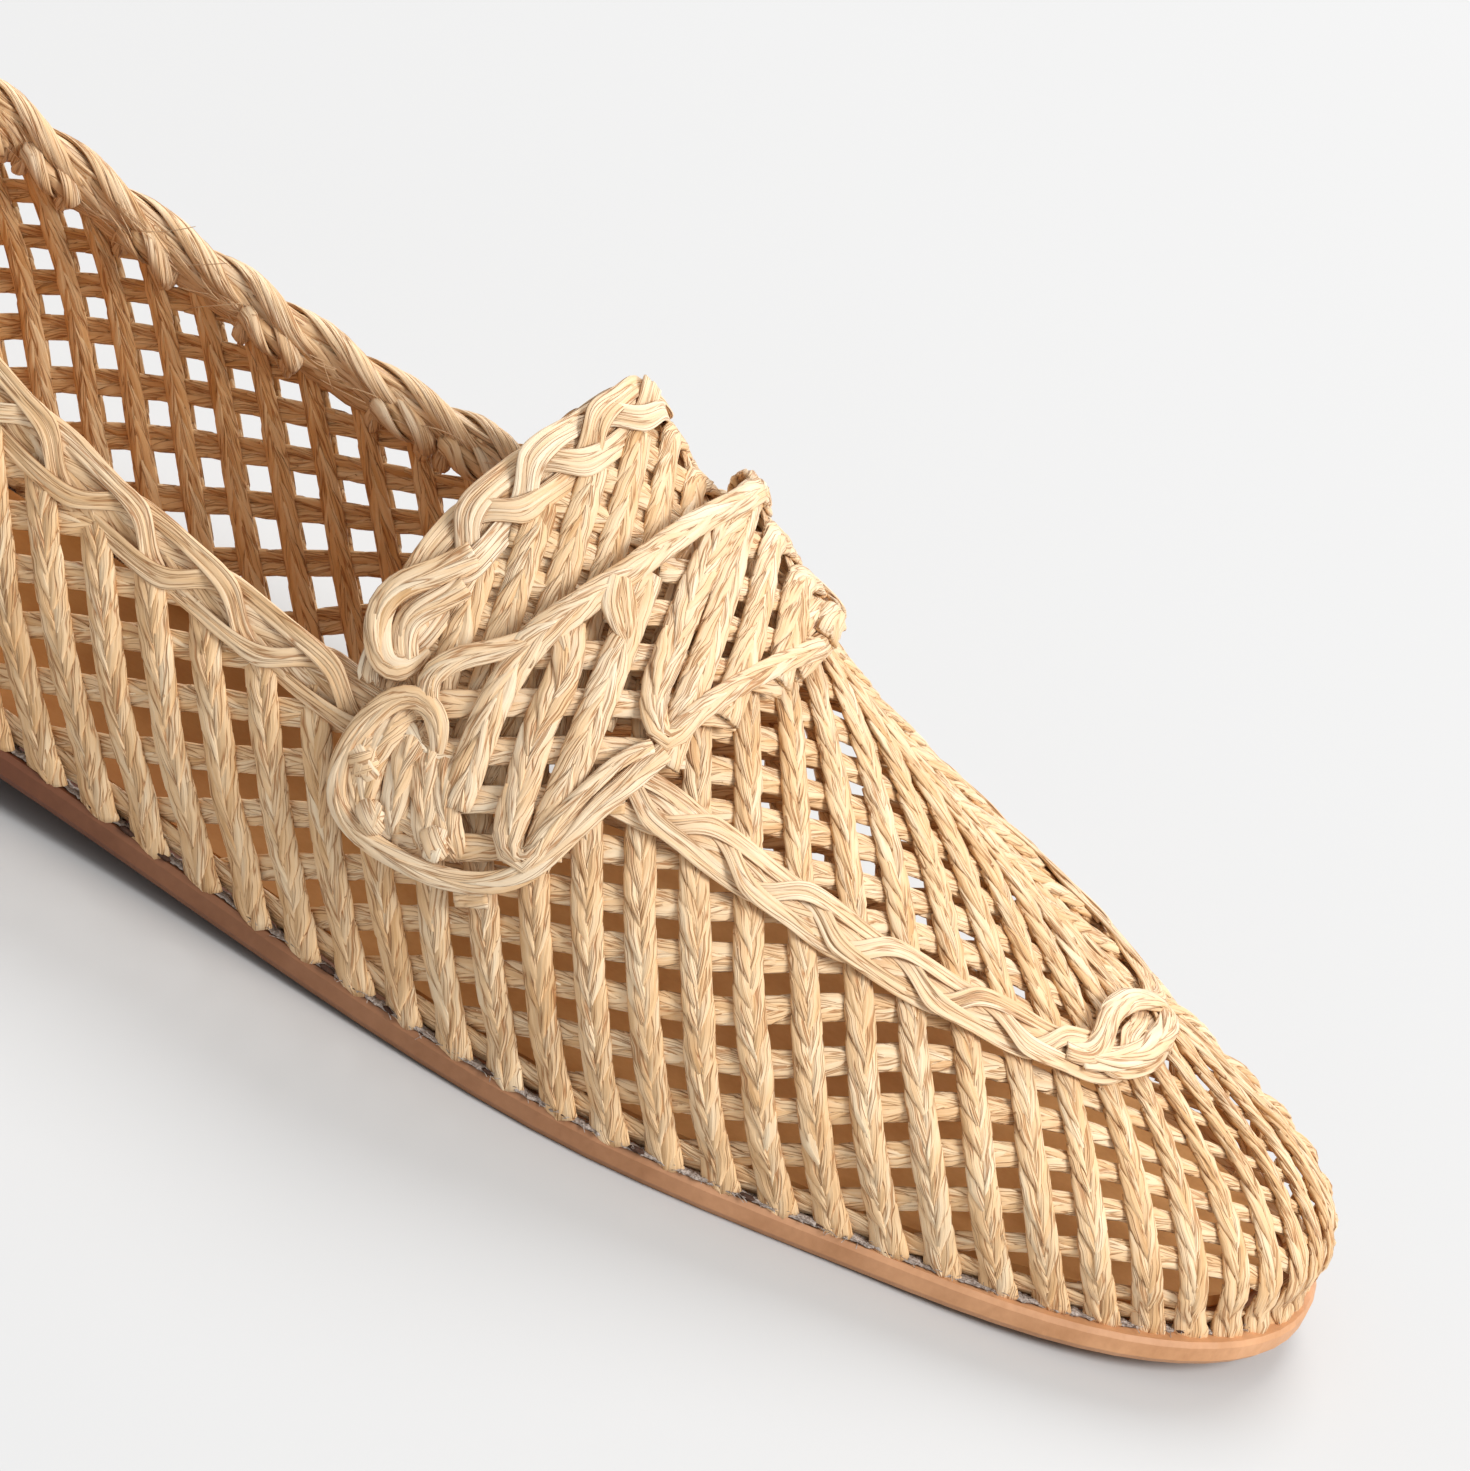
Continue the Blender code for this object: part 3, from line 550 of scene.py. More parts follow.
# ---------------------------------------------------------------- wall of crossing plaits
PERIOD = 11.6
STEP = 0.8
LEVELS = range(int(math.ceil(FIELD[WALL_MASK > 0.5].min())), int(FIELD[WALL_MASK > 0.5].max()) + 1)
weave = {key: Bundle() for key in ("a_back", "a_front", "b_back", "b_front")}
lining = Bundle()
for level in LEVELS:
    for line in contours(FIELD, level + 0.0):
        for mirror in (False, True):
            f, g = line[:, 0], (NV - 1 - line[:, 1] if mirror else line[:, 1])
            points, places = spaced(at(f, g), STEP, np.stack([f, g], -1))
            keep = at(places[:, 0], places[:, 1], WALL_MASK[..., None])[:, 0] > 0.5
            for a, b in runs(keep):
                if b - a < 8:
                    continue
                mid = smooth(points[a:b], 4)
                out = unit(smooth(at(places[a:b, 0], places[a:b, 1], NORMAL), 2))
                n = b - a
                # 1 where this is the outer set of its side, 0 where it runs behind the other
                turnover = MID + 13 * ease((mid[:, 0] - 145) / 22) + 15 * ease((mid[:, 0] - 204) / 26)
                lead = ease(0.5 + (turnover - places[a:b, 1]) / 30.0 * (-1 if mirror else 1))
                level_q = np.interp(np.minimum(places[a:b, 1], NV - 1 - places[a:b, 1]), np.arange(len(Q)), Q)
                foot = ease((0.34 - level_q) / 0.34)
                tangent = unit(np.gradient(mid, axis=0))
                side = unit(np.cross(out, tangent))
                # its Vs point down to the sole where it is the outer set
                way = -1 if np.sum(np.gradient(mid[:, 2]) * lead) > 0 else 1
                reach = 1.4 + 1.0 * ease((mid[:, 0] - 224) / 22)
                narrow = 1 - 0.22 * (1 - lead) * ease((mid[:, 0] - 198) / 22)
                narrow = narrow * (1 - 0.38 * ease((mid[:, 0] - 210) / 22) * ease((places[a:b, 1] - MID + 44) / 38))
                # inner face of the stakes, seen through the shoe's mouth, in the straw copy that carries painted inside
                # shade
                inside = (lead > 0.9) & (mid[:, 0] < 134) & (mid[:, 1] > 0) & (level_q > 0.12)
                for c, d in runs(inside):
                    if mirror and d - c > 8:
                        plait(lining, mid[c:d] - out[c:d] * 2.25, -out[c:d], 1.5, 0.2, 0.32, PERIOD * 1.1, tone=0.60, way=-way)
                narrow = narrow * np.where((mid[:, 0] < 134) & (mid[:, 1] > 0), 1 - 0.26 * lead, 1.0)
                # upper ends go in under the braids and the strap
                way_in = np.arange(n) * STEP
                sunk = np.zeros(n)
                for end, far_from in ((0, way_in), (-1, way_in[::-1])):
                    if level_q[end] > 0.5:
                        sunk = np.maximum(sunk, 1 - ease((far_from - 1.5) / 6.0))
                mid = mid + out * (-1.55 + 0.90 * lead * (1 - sunk) - 0.2 * sunk + reach * foot * lead)[:, None] + side * wander(n, 16, 0.12)[:, None]
                for end, beside in ((0, 1), (-1, -2)):
                    if level_q[end] < 0.02:          # foot, drawn down to the sole
                        mid[end] = mid[end] + 0.8 * unit(mid[end] - mid[beside])
                # plaits towards the heel get a lower tone: painted shade, drawing the quarter darker
                plait(weave[("b_" if mirror else "a_") + ("back" if level < 13 else "front")], mid, out,
                      narrow * (1.86 + 0.18 * lead) * (1 + 0.24 * foot * lead), 0.14 + 0.08 * lead, 0.26 + 0.14 * lead,
                      PERIOD * (0.9 + 0.2 * rng.random()), inner=1.0,
                      tone=0.5 + 0.05 * rng.normal() - 0.16 * float(ease((118.0 - mid[:, 0].mean()) / 80.0)), way=way)
# last weft along the wall's lower edge, behind the feet
for side in (-1, 1):
    us = np.linspace(0.004, 0.9985, 260)
    f, g = place(ends(0.11)[0] + (ends(0.11)[1] - ends(0.11)[0]) * us, np.full(260, 0.11), side)
    points, out = spaced(at(f, g), STEP, at(f, g, NORMAL))
    plait(weave["a_back" if side < 0 else "b_back"], points - out * 0.85, unit(out), 1.9, 0.10, 0.3, PERIOD * 1.1, inner=1.0,
          tone=0.5)


# ---------------------------------------------------------------- materials
def nodes_of(name):
    m = bpy.data.materials.new(name)
    m.use_nodes = True
    tree = m.node_tree
    return m, tree, tree.nodes["Principled BSDF"]


def add(tree, kind, **values):
    n = tree.nodes.new(kind)
    for k, v in values.items():
        setattr(n, k, v)
    return n


def srgb(text):
    c = [int(text[i:i + 2], 16) / 255 for i in (1, 3, 5)]
    return tuple(v / 12.92 if v <= 0.04045 else ((v + 0.055) / 1.055) ** 2.4 for v in c) + (1.0,)


def raffia(name, dark, middle, light, inside):
    m, tree, shader = nodes_of(name)
    link = tree.links.new
    strand = add(tree, "ShaderNodeAttribute", attribute_name="strand")
    tone = add(tree, "ShaderNodeAttribute", attribute_name="tone")
    inner = add(tree, "ShaderNodeAttribute", attribute_name="inner")
    own = add(tree, "ShaderNodeMath", operation="MULTIPLY")
    own.inputs[1].default_value = 97.0
    link(tone.outputs["Fac"], own.inputs[0])

    def grain(scale, detail):
        v = add(tree, "ShaderNodeVectorMath", operation="MULTIPLY")
        v.inputs[1].default_value = scale
        link(strand.outputs["Vector"], v.inputs[0])
        t = add(tree, "ShaderNodeTexNoise", noise_dimensions="4D")
        t.inputs["Scale"].default_value = 1.0
        t.inputs["Detail"].default_value = detail
        t.inputs["Roughness"].default_value = 0.6
        link(v.outputs["Vector"], t.inputs["Vector"])
        link(own.outputs[0], t.inputs["W"])
        return t.outputs["Fac"]

    broad, fine = grain((0.08, 0.7, 0.7), 2.0), grain((0.17, 3.6, 3.6), 3.0)
    # long creases: thin lines where a stretched noise crosses its middle; they are darkened as painted shade and sunk
    # by the bump
    fold = add(tree, "ShaderNodeMath", operation="SUBTRACT")
    fold.inputs[1].default_value = 0.5
    link(grain((0.07, 1.6, 1.6), 1.0), fold.inputs[0])
    size = add(tree, "ShaderNodeMath", operation="ABSOLUTE")
    link(fold.outputs[0], size.inputs[0])
    crease = add(tree, "ShaderNodeMapRange")
    crease.inputs["From Min"].default_value = 0.0
    crease.inputs["From Max"].default_value = 0.036
    crease.inputs["To Min"].default_value = 1.0
    crease.inputs["To Max"].default_value = 0.0
    link(size.outputs[0], crease.inputs["Value"])
    mix = add(tree, "ShaderNodeMath", operation="MULTIPLY_ADD")
    mix.inputs[1].default_value = 0.5
    link(fine, mix.inputs[0])
    link(broad, mix.inputs[2])
    both = add(tree, "ShaderNodeMath", operation="MULTIPLY_ADD")
    both.inputs[1].default_value = 0.55
    link(tone.outputs["Fac"], both.inputs[0])
    link(mix.outputs[0], both.inputs[2])
    ramp = add(tree, "ShaderNodeValToRGB")
    ramp.color_ramp.elements[0].position, ramp.color_ramp.elements[0].color = 0.62, srgb(dark)
    ramp.color_ramp.elements[1].position, ramp.color_ramp.elements[1].color = 1.62, srgb(light)
    spread = add(tree, "ShaderNodeMapRange")
    spread.inputs["From Min"].default_value = 0.62
    spread.inputs["From Max"].default_value = 1.38
    link(both.outputs[0], spread.inputs["Value"])
    ramp.color_ramp.elements[0].position = 0.0
    ramp.color_ramp.elements[1].position = 1.0
    ramp.color_ramp.elements.new(0.45).color = srgb(middle)
    link(spread.outputs["Result"], ramp.inputs["Fac"])
    creases_shaded = add(tree, "ShaderNodeMix", data_type="RGBA", blend_type="MULTIPLY")
    part = add(tree, "ShaderNodeMath", operation="MULTIPLY")
    part.inputs[1].default_value = 0.8
    link(crease.outputs["Result"], part.inputs[0])
    link(part.outputs[0], creases_shaded.inputs["Factor"])
    link(ramp.outputs["Color"], creases_shaded.inputs["A"])
    creases_shaded.inputs["B"].default_value = srgb("#B98A58")
    # painted shade: borders, where strands dip under each other, are darker
    border_shade = add(tree, "ShaderNodeAttribute", attribute_name="border_shade")
    steep = add(tree, "ShaderNodeMath", operation="POWER")
    steep.inputs[1].default_value = 2.0
    link(border_shade.outputs["Fac"], steep.inputs[0])
    shaded_borders = add(tree, "ShaderNodeMix", data_type="RGBA", blend_type="MULTIPLY")
    link(steep.outputs[0], shaded_borders.inputs["Factor"])
    link(creases_shaded.outputs["Result"], shaded_borders.inputs["A"])
    shaded_borders.inputs["B"].default_value = srgb("#936639")
    # painted shade: the undersides of the strands are multiplied by the inside tint
    inner_shade_tint = add(tree, "ShaderNodeMix", data_type="RGBA", blend_type="MULTIPLY")
    inner_shade_tint.inputs["B"].default_value = srgb(inside)
    link(inner.outputs["Fac"], inner_shade_tint.inputs["Factor"])
    link(shaded_borders.outputs["Result"], inner_shade_tint.inputs["A"])
    link(inner_shade_tint.outputs["Result"], shader.inputs["Base Color"])
    relief = add(tree, "ShaderNodeMath", operation="MULTIPLY_ADD")
    relief.inputs[1].default_value = -0.8
    link(crease.outputs["Result"], relief.inputs[0])
    link(fine, relief.inputs[2])
    bump = add(tree, "ShaderNodeBump")
    bump.inputs["Strength"].default_value = 0.6
    bump.inputs["Distance"].default_value = 0.0004
    link(relief.outputs[0], bump.inputs["Height"])
    link(bump.outputs["Normal"], shader.inputs["Normal"])
    shader.inputs["Roughness"].default_value = 0.48
    shader.inputs["Specular IOR Level"].default_value = 0.4
    return m


def leather(name, dark, light, rough, scale, bump_strength, stretch=(1.0, 1.0, 1.0), heel_shade=None, back=0.0, front=0.1):
    """Grained leather, darker towards the heel by a tint of painted shade over its part behind back, which it loses up
    to front.
    """
    m, tree, shader = nodes_of(name)
    link = tree.links.new
    coord = add(tree, "ShaderNodeTexCoord")
    v = add(tree, "ShaderNodeVectorMath", operation="MULTIPLY")
    v.inputs[1].default_value = stretch
    link(coord.outputs["Object"], v.inputs[0])
    wide = add(tree, "ShaderNodeTexNoise")
    wide.inputs["Scale"].default_value = scale * 0.12
    wide.inputs["Detail"].default_value = 4.0
    link(v.outputs["Vector"], wide.inputs["Vector"])
    pore = add(tree, "ShaderNodeTexNoise")
    pore.inputs["Scale"].default_value = scale
    pore.inputs["Detail"].default_value = 5.0
    link(v.outputs["Vector"], pore.inputs["Vector"])
    mixed = add(tree, "ShaderNodeMath", operation="MULTIPLY_ADD")
    mixed.inputs[1].default_value = 0.35
    link(pore.outputs["Fac"], mixed.inputs[0])
    link(wide.outputs["Fac"], mixed.inputs[2])
    spread = add(tree, "ShaderNodeMapRange")
    spread.inputs["From Min"].default_value = 0.45
    spread.inputs["From Max"].default_value = 0.90
    link(mixed.outputs[0], spread.inputs["Value"])
    ramp = add(tree, "ShaderNodeValToRGB")
    ramp.color_ramp.elements[0].color = srgb(dark)
    ramp.color_ramp.elements[1].color = srgb(light)
    link(spread.outputs["Result"], ramp.inputs["Fac"])
    colour = ramp.outputs["Color"]
    # painted shade: the tint darkens the leather towards the heel
    if heel_shade:
        parts = add(tree, "ShaderNodeSeparateXYZ")
        link(coord.outputs["Object"], parts.inputs["Vector"])
        fade = add(tree, "ShaderNodeMapRange")
        fade.inputs["From Min"].default_value = back
        fade.inputs["From Max"].default_value = front
        fade.inputs["To Min"].default_value = 1.0
        fade.inputs["To Max"].default_value = 0.0
        link(parts.outputs["X"], fade.inputs["Value"])
        tint = add(tree, "ShaderNodeMix", data_type="RGBA", blend_type="MULTIPLY")
        tint.inputs["B"].default_value = srgb(heel_shade)
        link(fade.outputs["Result"], tint.inputs["Factor"])
        link(colour, tint.inputs["A"])
        colour = tint.outputs["Result"]
    link(colour, shader.inputs["Base Color"])
    bump = add(tree, "ShaderNodeBump")
    bump.inputs["Strength"].default_value = bump_strength
    bump.inputs["Distance"].default_value = 0.0002
    link(pore.outputs["Fac"], bump.inputs["Height"])
    link(bump.outputs["Normal"], shader.inputs["Normal"])
    shader.inputs["Roughness"].default_value = rough
    return m


STRAW = raffia("raffia_weave", "#CB985E", "#EDC696", "#F5DFBD", "#FFF8EA")
STRAW_BRAID = raffia("raffia_braid", "#CC9C64", "#EEC99C", "#F8E4C6", "#FFF8EA")
STRAW_STRAP = raffia("raffia_strap", "#D1A268", "#F0CB9E", "#F8E4C6", "#FFF8EA")
# both leathers are tinted darker towards the heel: painted shade
SOLE_LEATHER = leather("sole_leather", "#BE885C", "#DBA477", 0.5, 900.0, 0.25, heel_shade="#8F7263", back=-0.05, front=0.112)
INSOLE_LEATHER = leather("insole_leather", "#DAA060", "#EAB474", 0.7, 1400.0, 0.2, heel_shade="#BDA98E", back=-0.03, front=0.03)
INSOLE_LEATHER.node_tree.nodes["Principled BSDF"].inputs["Specular IOR Level"].default_value = 0.15

# a warmer, more orange copy of the straw for the inner face: painted warm light and shade of the shoe's inside
STRAW_SHADED_INSIDE = raffia("raffia_inside_shaded", "#C58A4A", "#EFBC80", "#FFDFAF", "#FFF8EA")

for key, bundle in weave.items():
    bundle.build("upper_plaits_" + key, STRAW, "straw_weave", "upper")
lining.build("upper_plaits_inside", STRAW_SHADED_INSIDE, "straw_weave", "upper")

# ---------------------------------------------------------------- plaited strip over the heel's back line
heel_strip = Bundle()
qs = np.linspace(0.0, level_at(HEEL_END + 0.4, -1, topline(2.0, -1), 3.0), 90)
points = skin(np.zeros_like(qs), qs, -1.0)
points[:, 1] = axis_y(0.0)
climb = unit(np.gradient(points, axis=0))
out = np.stack([-climb[:, 2], np.zeros(len(qs)), climb[:, 0]], -1)
points, out = spaced(points, STEP, out)
plait(heel_strip, points + out * 0.5, out, 3.3, 0.25, 0.4, 20.0, tone=0.48, way=-1)
plait(heel_strip, points - out * 2.4, -out, 2.8, 0.2, 0.3, 16.0, tone=0.40)
heel_strip.build("heel_strip", STRAW, "straw_weave", "upper")

# ---------------------------------------------------------------- fuzzy felt edge between the wall and the sole
felt_mat, tree, shader = nodes_of("felt_edge")
coord = add(tree, "ShaderNodeTexCoord")
fuzz = add(tree, "ShaderNodeTexNoise")
fuzz.inputs["Scale"].default_value = 2600.0
fuzz.inputs["Detail"].default_value = 4.0
tree.links.new(coord.outputs["Object"], fuzz.inputs["Vector"])
ramp = add(tree, "ShaderNodeValToRGB")
ramp.color_ramp.elements[0].position, ramp.color_ramp.elements[0].color = 0.35, srgb("#8A7A70")
ramp.color_ramp.elements[1].position, ramp.color_ramp.elements[1].color = 0.65, srgb("#C9BCB2")
tree.links.new(fuzz.outputs["Fac"], ramp.inputs["Fac"])
# where the tone is low the felt turns dark brown
tone = add(tree, "ShaderNodeAttribute", attribute_name="tone")
dark_spot_mix = add(tree, "ShaderNodeMix", data_type="RGBA")
tree.links.new(tone.outputs["Fac"], dark_spot_mix.inputs["Factor"])
dark_spot_mix.inputs["A"].default_value = srgb("#4A3126")
tree.links.new(ramp.outputs["Color"], dark_spot_mix.inputs["B"])
tree.links.new(dark_spot_mix.outputs["Result"], shader.inputs["Base Color"])
bump = add(tree, "ShaderNodeBump")
bump.inputs["Strength"].default_value = 1.0
bump.inputs["Distance"].default_value = 0.0004
tree.links.new(fuzz.outputs["Fac"], bump.inputs["Height"])
tree.links.new(bump.outputs["Normal"], shader.inputs["Normal"])
shader.inputs["Roughness"].default_value = 0.95
shader.inputs["Specular IOR Level"].default_value = 0.1
felt = Bundle()
us = 0.5 * (1 - np.cos(np.linspace(0, math.pi, 300)))
loop = np.concatenate([skin(us, 0.0, -1.0), skin(us[::-1], 0.0, 1.0)[1:]])
loop, = spaced(loop, 0.45)
n = len(loop)
flat = np.gradient(loop, axis=0)
flat = unit(np.stack([flat[:, 1], -flat[:, 0], np.zeros(n)], -1))
up = np.tile([0.0, 0.0, 1.0], (n, 1))
rough = rng.normal(0, 1, (3, n))
shown = ease((loop[:, 0] - 90) / 50)                 # hidden under the feet along the back
felt.ribbon(loop + flat * (-0.25 + 0.60 * shown + 0.12 * rough[0])[:, None] + up * (-0.02 + 0.05 * rough[1])[:, None],
            flat * (0.85 + 0.08 * rough[2])[:, None], up * (0.26 + 0.04 * rough[1])[:, None], 1.0, taper=0)
for k in range(0, n - 12, 11):                       # dark spots between the feet of the plaits
    if rng.random() < 0.3:
        a = k + int(rng.integers(0, 5))
        m = int(rng.integers(4, 7))
        felt.ribbon(loop[a:a + m] + flat[a:a + m] * 0.95 + up[a:a + m] * 0.20, flat[a:a + m] * 0.5, up[a:a + m] * 0.26,
                    0.05, taper=0.7)
for k in range(700):                                 # loose fuzz
    a = int(rng.integers(0, n - 1))
    if rng.random() > shown[a]:
        continue
    start = loop[a] + flat[a] * (0.9 + 0.4 * rng.random()) + up[a] * (0.1 + 0.3 * rng.random())
    way = unit(flat[a] * (0.2 + 0.5 * rng.random()) + up[a] * rng.normal(0.3, 0.4) + (loop[a + 1] - loop[a]) * rng.normal(0, 2.2))
    s = np.linspace(0, 0.7 + 0.9 * rng.random(), 4)[:, None]
    felt.ribbon(start + way * s + up[a] * (-0.12 * s * s), np.tile(unit(np.cross(way, up[a])) * 0.05, (4, 1)),
                np.tile(up[a] * 0.04, (4, 1)), 1.0, taper=0)
felt.build("felt_edge", felt_mat, "straw_weave", "upper")

# ---------------------------------------------------------------- sections around strap and tongue, by arc from the crest
ARC_X = np.arange(102.0, 172.0, 1.0)
ARC_S = np.arange(0.0, 84.0, 0.5)
ARC_Q = {}
for side in (-1, 1):
    table = []
    fine = np.linspace(2.0, 0.4, 500)
    for x in ARC_X:
        p = skin(station(x, fine), fine, side)
        s = np.r_[0, np.cumsum(np.linalg.norm(np.diff(p, axis=0), axis=1))]
        table.append(np.interp(ARC_S, s, fine))
    ARC_Q[side] = np.array(table)


def over(x, t):
    """Grid places and levels of points at x and signed arc t from the crest, negative on the outer side."""
    q = np.empty(len(x))
    for side in (-1, 1):
        m = t < 0 if side < 0 else t >= 0
        i = np.clip(x[m] - ARC_X[0], 0, len(ARC_X) - 1.001)
        j = np.clip(np.abs(t[m]) / 0.5, 0, len(ARC_S) - 1.001)
        a, b = i.astype(int), j.astype(int)
        i, j = i - a, j - b
        z = ARC_Q[side]
        q[m] = ((1 - i) * (1 - j) * z[a, b] + i * (1 - j) * z[a + 1, b] + (1 - i) * j * z[a, b + 1] + i * j * z[a + 1, b + 1])
    f, g = place(x, q, np.where(t < 0, -1, 1))
    return f, g, q


def soft_abs(t, r=4.0):
    return np.sqrt(t * t + r * r) - r


CREST = at(*place(np.linspace(104, 170, 67), np.full(67, 2.0), -1))


def bent(bundle, height):
    """Raise a bundle near the crest, by a height that depends on x."""
    for p in bundle.points:
        beside = p[:, 1] - np.interp(p[:, 0], CREST[:, 0], CREST[:, 1])
        p += np.outer(height(p[:, 0]) * np.exp(-(beside / 9.0) ** 2), (0.42, 0.0, 0.91))


# ---------------------------------------------------------------- tongue
def throat(q, side):
    """x of the tongue's free edge: it swells back on the outer side and draws in on the inner side."""
    swell = np.interp(q, (1.0, 1.12, 1.24, 1.36, 1.47, 1.65, 1.82, 2.0), (0.2, 0.3, 1.2, 2.2, 2.3, 1.1, 0.5, 0.0))
    drawn = np.interp(q, (1.0, 1.12, 1.24, 1.36, 1.65, 1.82, 2.0), (0.0, 0.0, -1.0, -3.0, -3.0, -2.0, 0.0))
    return across(THROAT, "edge", q) - np.where(np.asarray(side) < 0, swell, drawn)


tongue = Bundle()
T = np.linspace(-75, 75, 601)
for k in range(-4, 16):
    for kind in ("stake", "weft", "behind"):
        s = soft_abs(T)
        if kind == "stake":
            x = 117.0 + 5.4 * k + 0.16 * s - 2.5 * np.exp(-s / 9)
        else:
            x = 117.0 + (40.0 + 5.6 * (k - 3 + (0.5 if kind == "behind" else 0.0)) - s) / 0.62
        ok = (x > 110) & (x < 165)
        f, g, q = over(np.clip(x, 109, 166), T)
        edge, seam = throat(q, np.sign(T)), across(THROAT, "seam", q)
        bottom = np.where(T < 0, 1.14, 1.24)
        keep = ok & (x > edge - 1.5) & (x < seam + 1.5) & (q > bottom)
        for a, b in runs(keep):
            if b - a < 10:
                continue
            points, out = spaced(at(f[a:b], g[a:b]), STEP, at(f[a:b], g[a:b], NORMAL))
            if len(points) < 8:
                continue
            points, out = smooth(points, 3), unit(smooth(out, 3))
            lead = 1.0 if kind == "stake" else 0.0
            plait(tongue, points + out * (-2.0 if kind == "behind" else -1.25 + 0.35 * lead), out, 1.9 + 0.1 * lead,
                  0.10 + 0.10 * lead, 0.26 + 0.14 * lead, PERIOD, inner=1.0, tone=0.55)
bent(tongue, lambda x: -1.4 * ease((x - 127) / 9))     # it dips where it goes under the strap
tongue.build("tongue_plaits", STRAW, "straw_weave", "tongue")

# ---------------------------------------------------------------- edge braids
collar = Bundle()
path = []
for side, xs in ((-1, np.linspace(118.5, 1.7, 150)), (1, np.linspace(1.7, 118.5, 150)[1:])):
    for x in xs:
        q = level_at(x, side, topline(x, side), BRAID_WIDE / 2)
        f, g = place(x if x > 1.75 else HEEL_END, q, side)
        path.append((float(f), float(g)))
path = np.array(path)
points, out = spaced(at(path[:, 0], path[:, 1]), 0.9, at(path[:, 0], path[:, 1], NORMAL))
points, out = smooth(points, 6), unit(smooth(out, 6))
plait(collar, points - out * (BRAID_SINK - 0.3), out, 3.0, 0.25, 0.3, 15.0, inner=0.6, tone=0.4)
braid(collar, points - out * (BRAID_SINK - 1.3), out, 3.9, 0.6, 0.24, 46.0, ribbons=3, tone=0.5, cover=0.38)
plait(collar, points - out * (BRAID_SINK + 0.8), -out, 3.1, 0.35, 0.34, 16.0, tone=0.4)
# inner side of the foot: rolled rope along the top, knotted ends of the stakes inside it, loose fibres
heel_end = int(np.argmin(points[:, 0]))
rim, rim_out = points[heel_end:], out[heel_end:]
down, rim_out = frame_along(rim, rim_out)
far = (rim[:, 0] > 9) & (rim[:, 0] < 117)
rope = (rim - down * 2.3 - rim_out * 1.0)[far]
collar.ribbon(rope + down[far] * 0.5, down[far] * 1.9, rim_out[far] * 1.2, 0.45, taper=0)
twist(collar, rope, rim_out[far], 1.0, 24.0, 2, 1.35, 0.26, 0.5, strips=4)
for x in (11.0, 23.0, 35.0, 44.5, 60.0, 79.0, 98.5, 109.0):
    k = int(np.argmin(np.abs(rim[:, 0] - x)))
    ahead = unit(rim[k + 1] - rim[k - 1])
    t = np.linspace(-1, 1, 17)[:, None]
    arch = np.sqrt(np.clip(1 - t * t, 0, 1))
    heart = rim[k] + down[k] * rng.uniform(0.6, 1.2) - rim_out[k] * 2.0
    line = heart + ahead * 3.9 * t + down[k] * (0.9 * t - 1.1 * arch) - rim_out[k] * (1.6 * arch)
    facing = np.tile(-rim_out[k], (17, 1))
    collar.ribbon(line, np.tile(down[k] * 1.2, (17, 1)), facing * 0.9, 0.45, taper=1.2)
    twist(collar, line, facing, 0.7, 15.0, 2, 1.15, 0.26, 0.52, strips=3)
    # stakes bent round the knot's ends
    for end in (-1, 1):
        line = heart + ahead * (end * 3.6 + 0.5 * t) + down[k] * (2.4 * t + 1.3) - rim_out[k] * (0.1 + 1.2 * arch)
        plait(collar, line, facing, np.interp(t[:, 0], (-1, 0.3, 1), (1.4, 1.4, 0.3)), 0.2, 0.34, PERIOD, tone=0.5, way=-1)
for k in range(90):
    a = int(rng.integers(0, len(rim) - 1))
    start = rim[a] + down[a] * rng.uniform(-3.0, 1.5) - rim_out[a] * rng.uniform(2.6, 4.2)
    course = unit((rim[a + 1] - rim[a]) * rng.choice([-1.0, 1.0]) + down[a] * rng.normal(0.15, 0.55) - rim_out[a] * abs(rng.normal(0, 0.12)))
    s = np.linspace(0, rng.uniform(3.0, 8.0), 7)[:, None]
    line = start + course * s + down[a] * (rng.normal(0.0, 0.03) * s * s)
    collar.ribbon(line, np.tile(down[a] * 0.07, (7, 1)), np.tile(rim_out[a] * 0.06, (7, 1)), 0.6, taper=0)
collar.build("collar_plait", STRAW_BRAID, "straw_braid", "collar_braid")

edge_braid = Bundle()
path = []
for side, order in ((-1, 1), (1, -1)):
    start = level_at(117.5 - BRAID_WIDE / 2, side, topline(117.5, side) - 0.5)
    qs = np.linspace(start, 2.0, 60)
    x = throat(qs, side) - GAP - BRAID_WIDE / 2
    f, g = place(x, qs, side)
    path += list(zip(f, g))[::order] if side < 0 else list(zip(f, g))[::-1][1:]
path = np.array(path)
points, out = spaced(at(path[:, 0], path[:, 1]), 0.8, at(path[:, 0], path[:, 1], NORMAL))
points, out = smooth(points, 8), unit(smooth(out, 10))
n = len(points)
broad = np.interp(np.linspace(0, 1, n), (0, 0.12, 0.4, 0.5, 0.6, 1), (3.2, 4.2, 4.3, 4.0, 3.4, 3.2))
plait(edge_braid, points - out * (BRAID_SINK - 0.4), out, broad - 0.4, 0.3, 0.34, 16.0, inner=0.6, tone=0.5)
braid(edge_braid, points - out * (BRAID_SINK - 1.6), out, broad, 0.6, 0.25, 36.0, ribbons=3, tone=0.6, cover=0.48, square=1.5)
plait(edge_braid, points - out * (BRAID_SINK + 0.8), -out, broad - 0.4, 0.35, 0.34, 18.0, tone=0.45)
edge_braid.build("tongue_plait", STRAW_BRAID, "straw_braid", "tongue_braid")

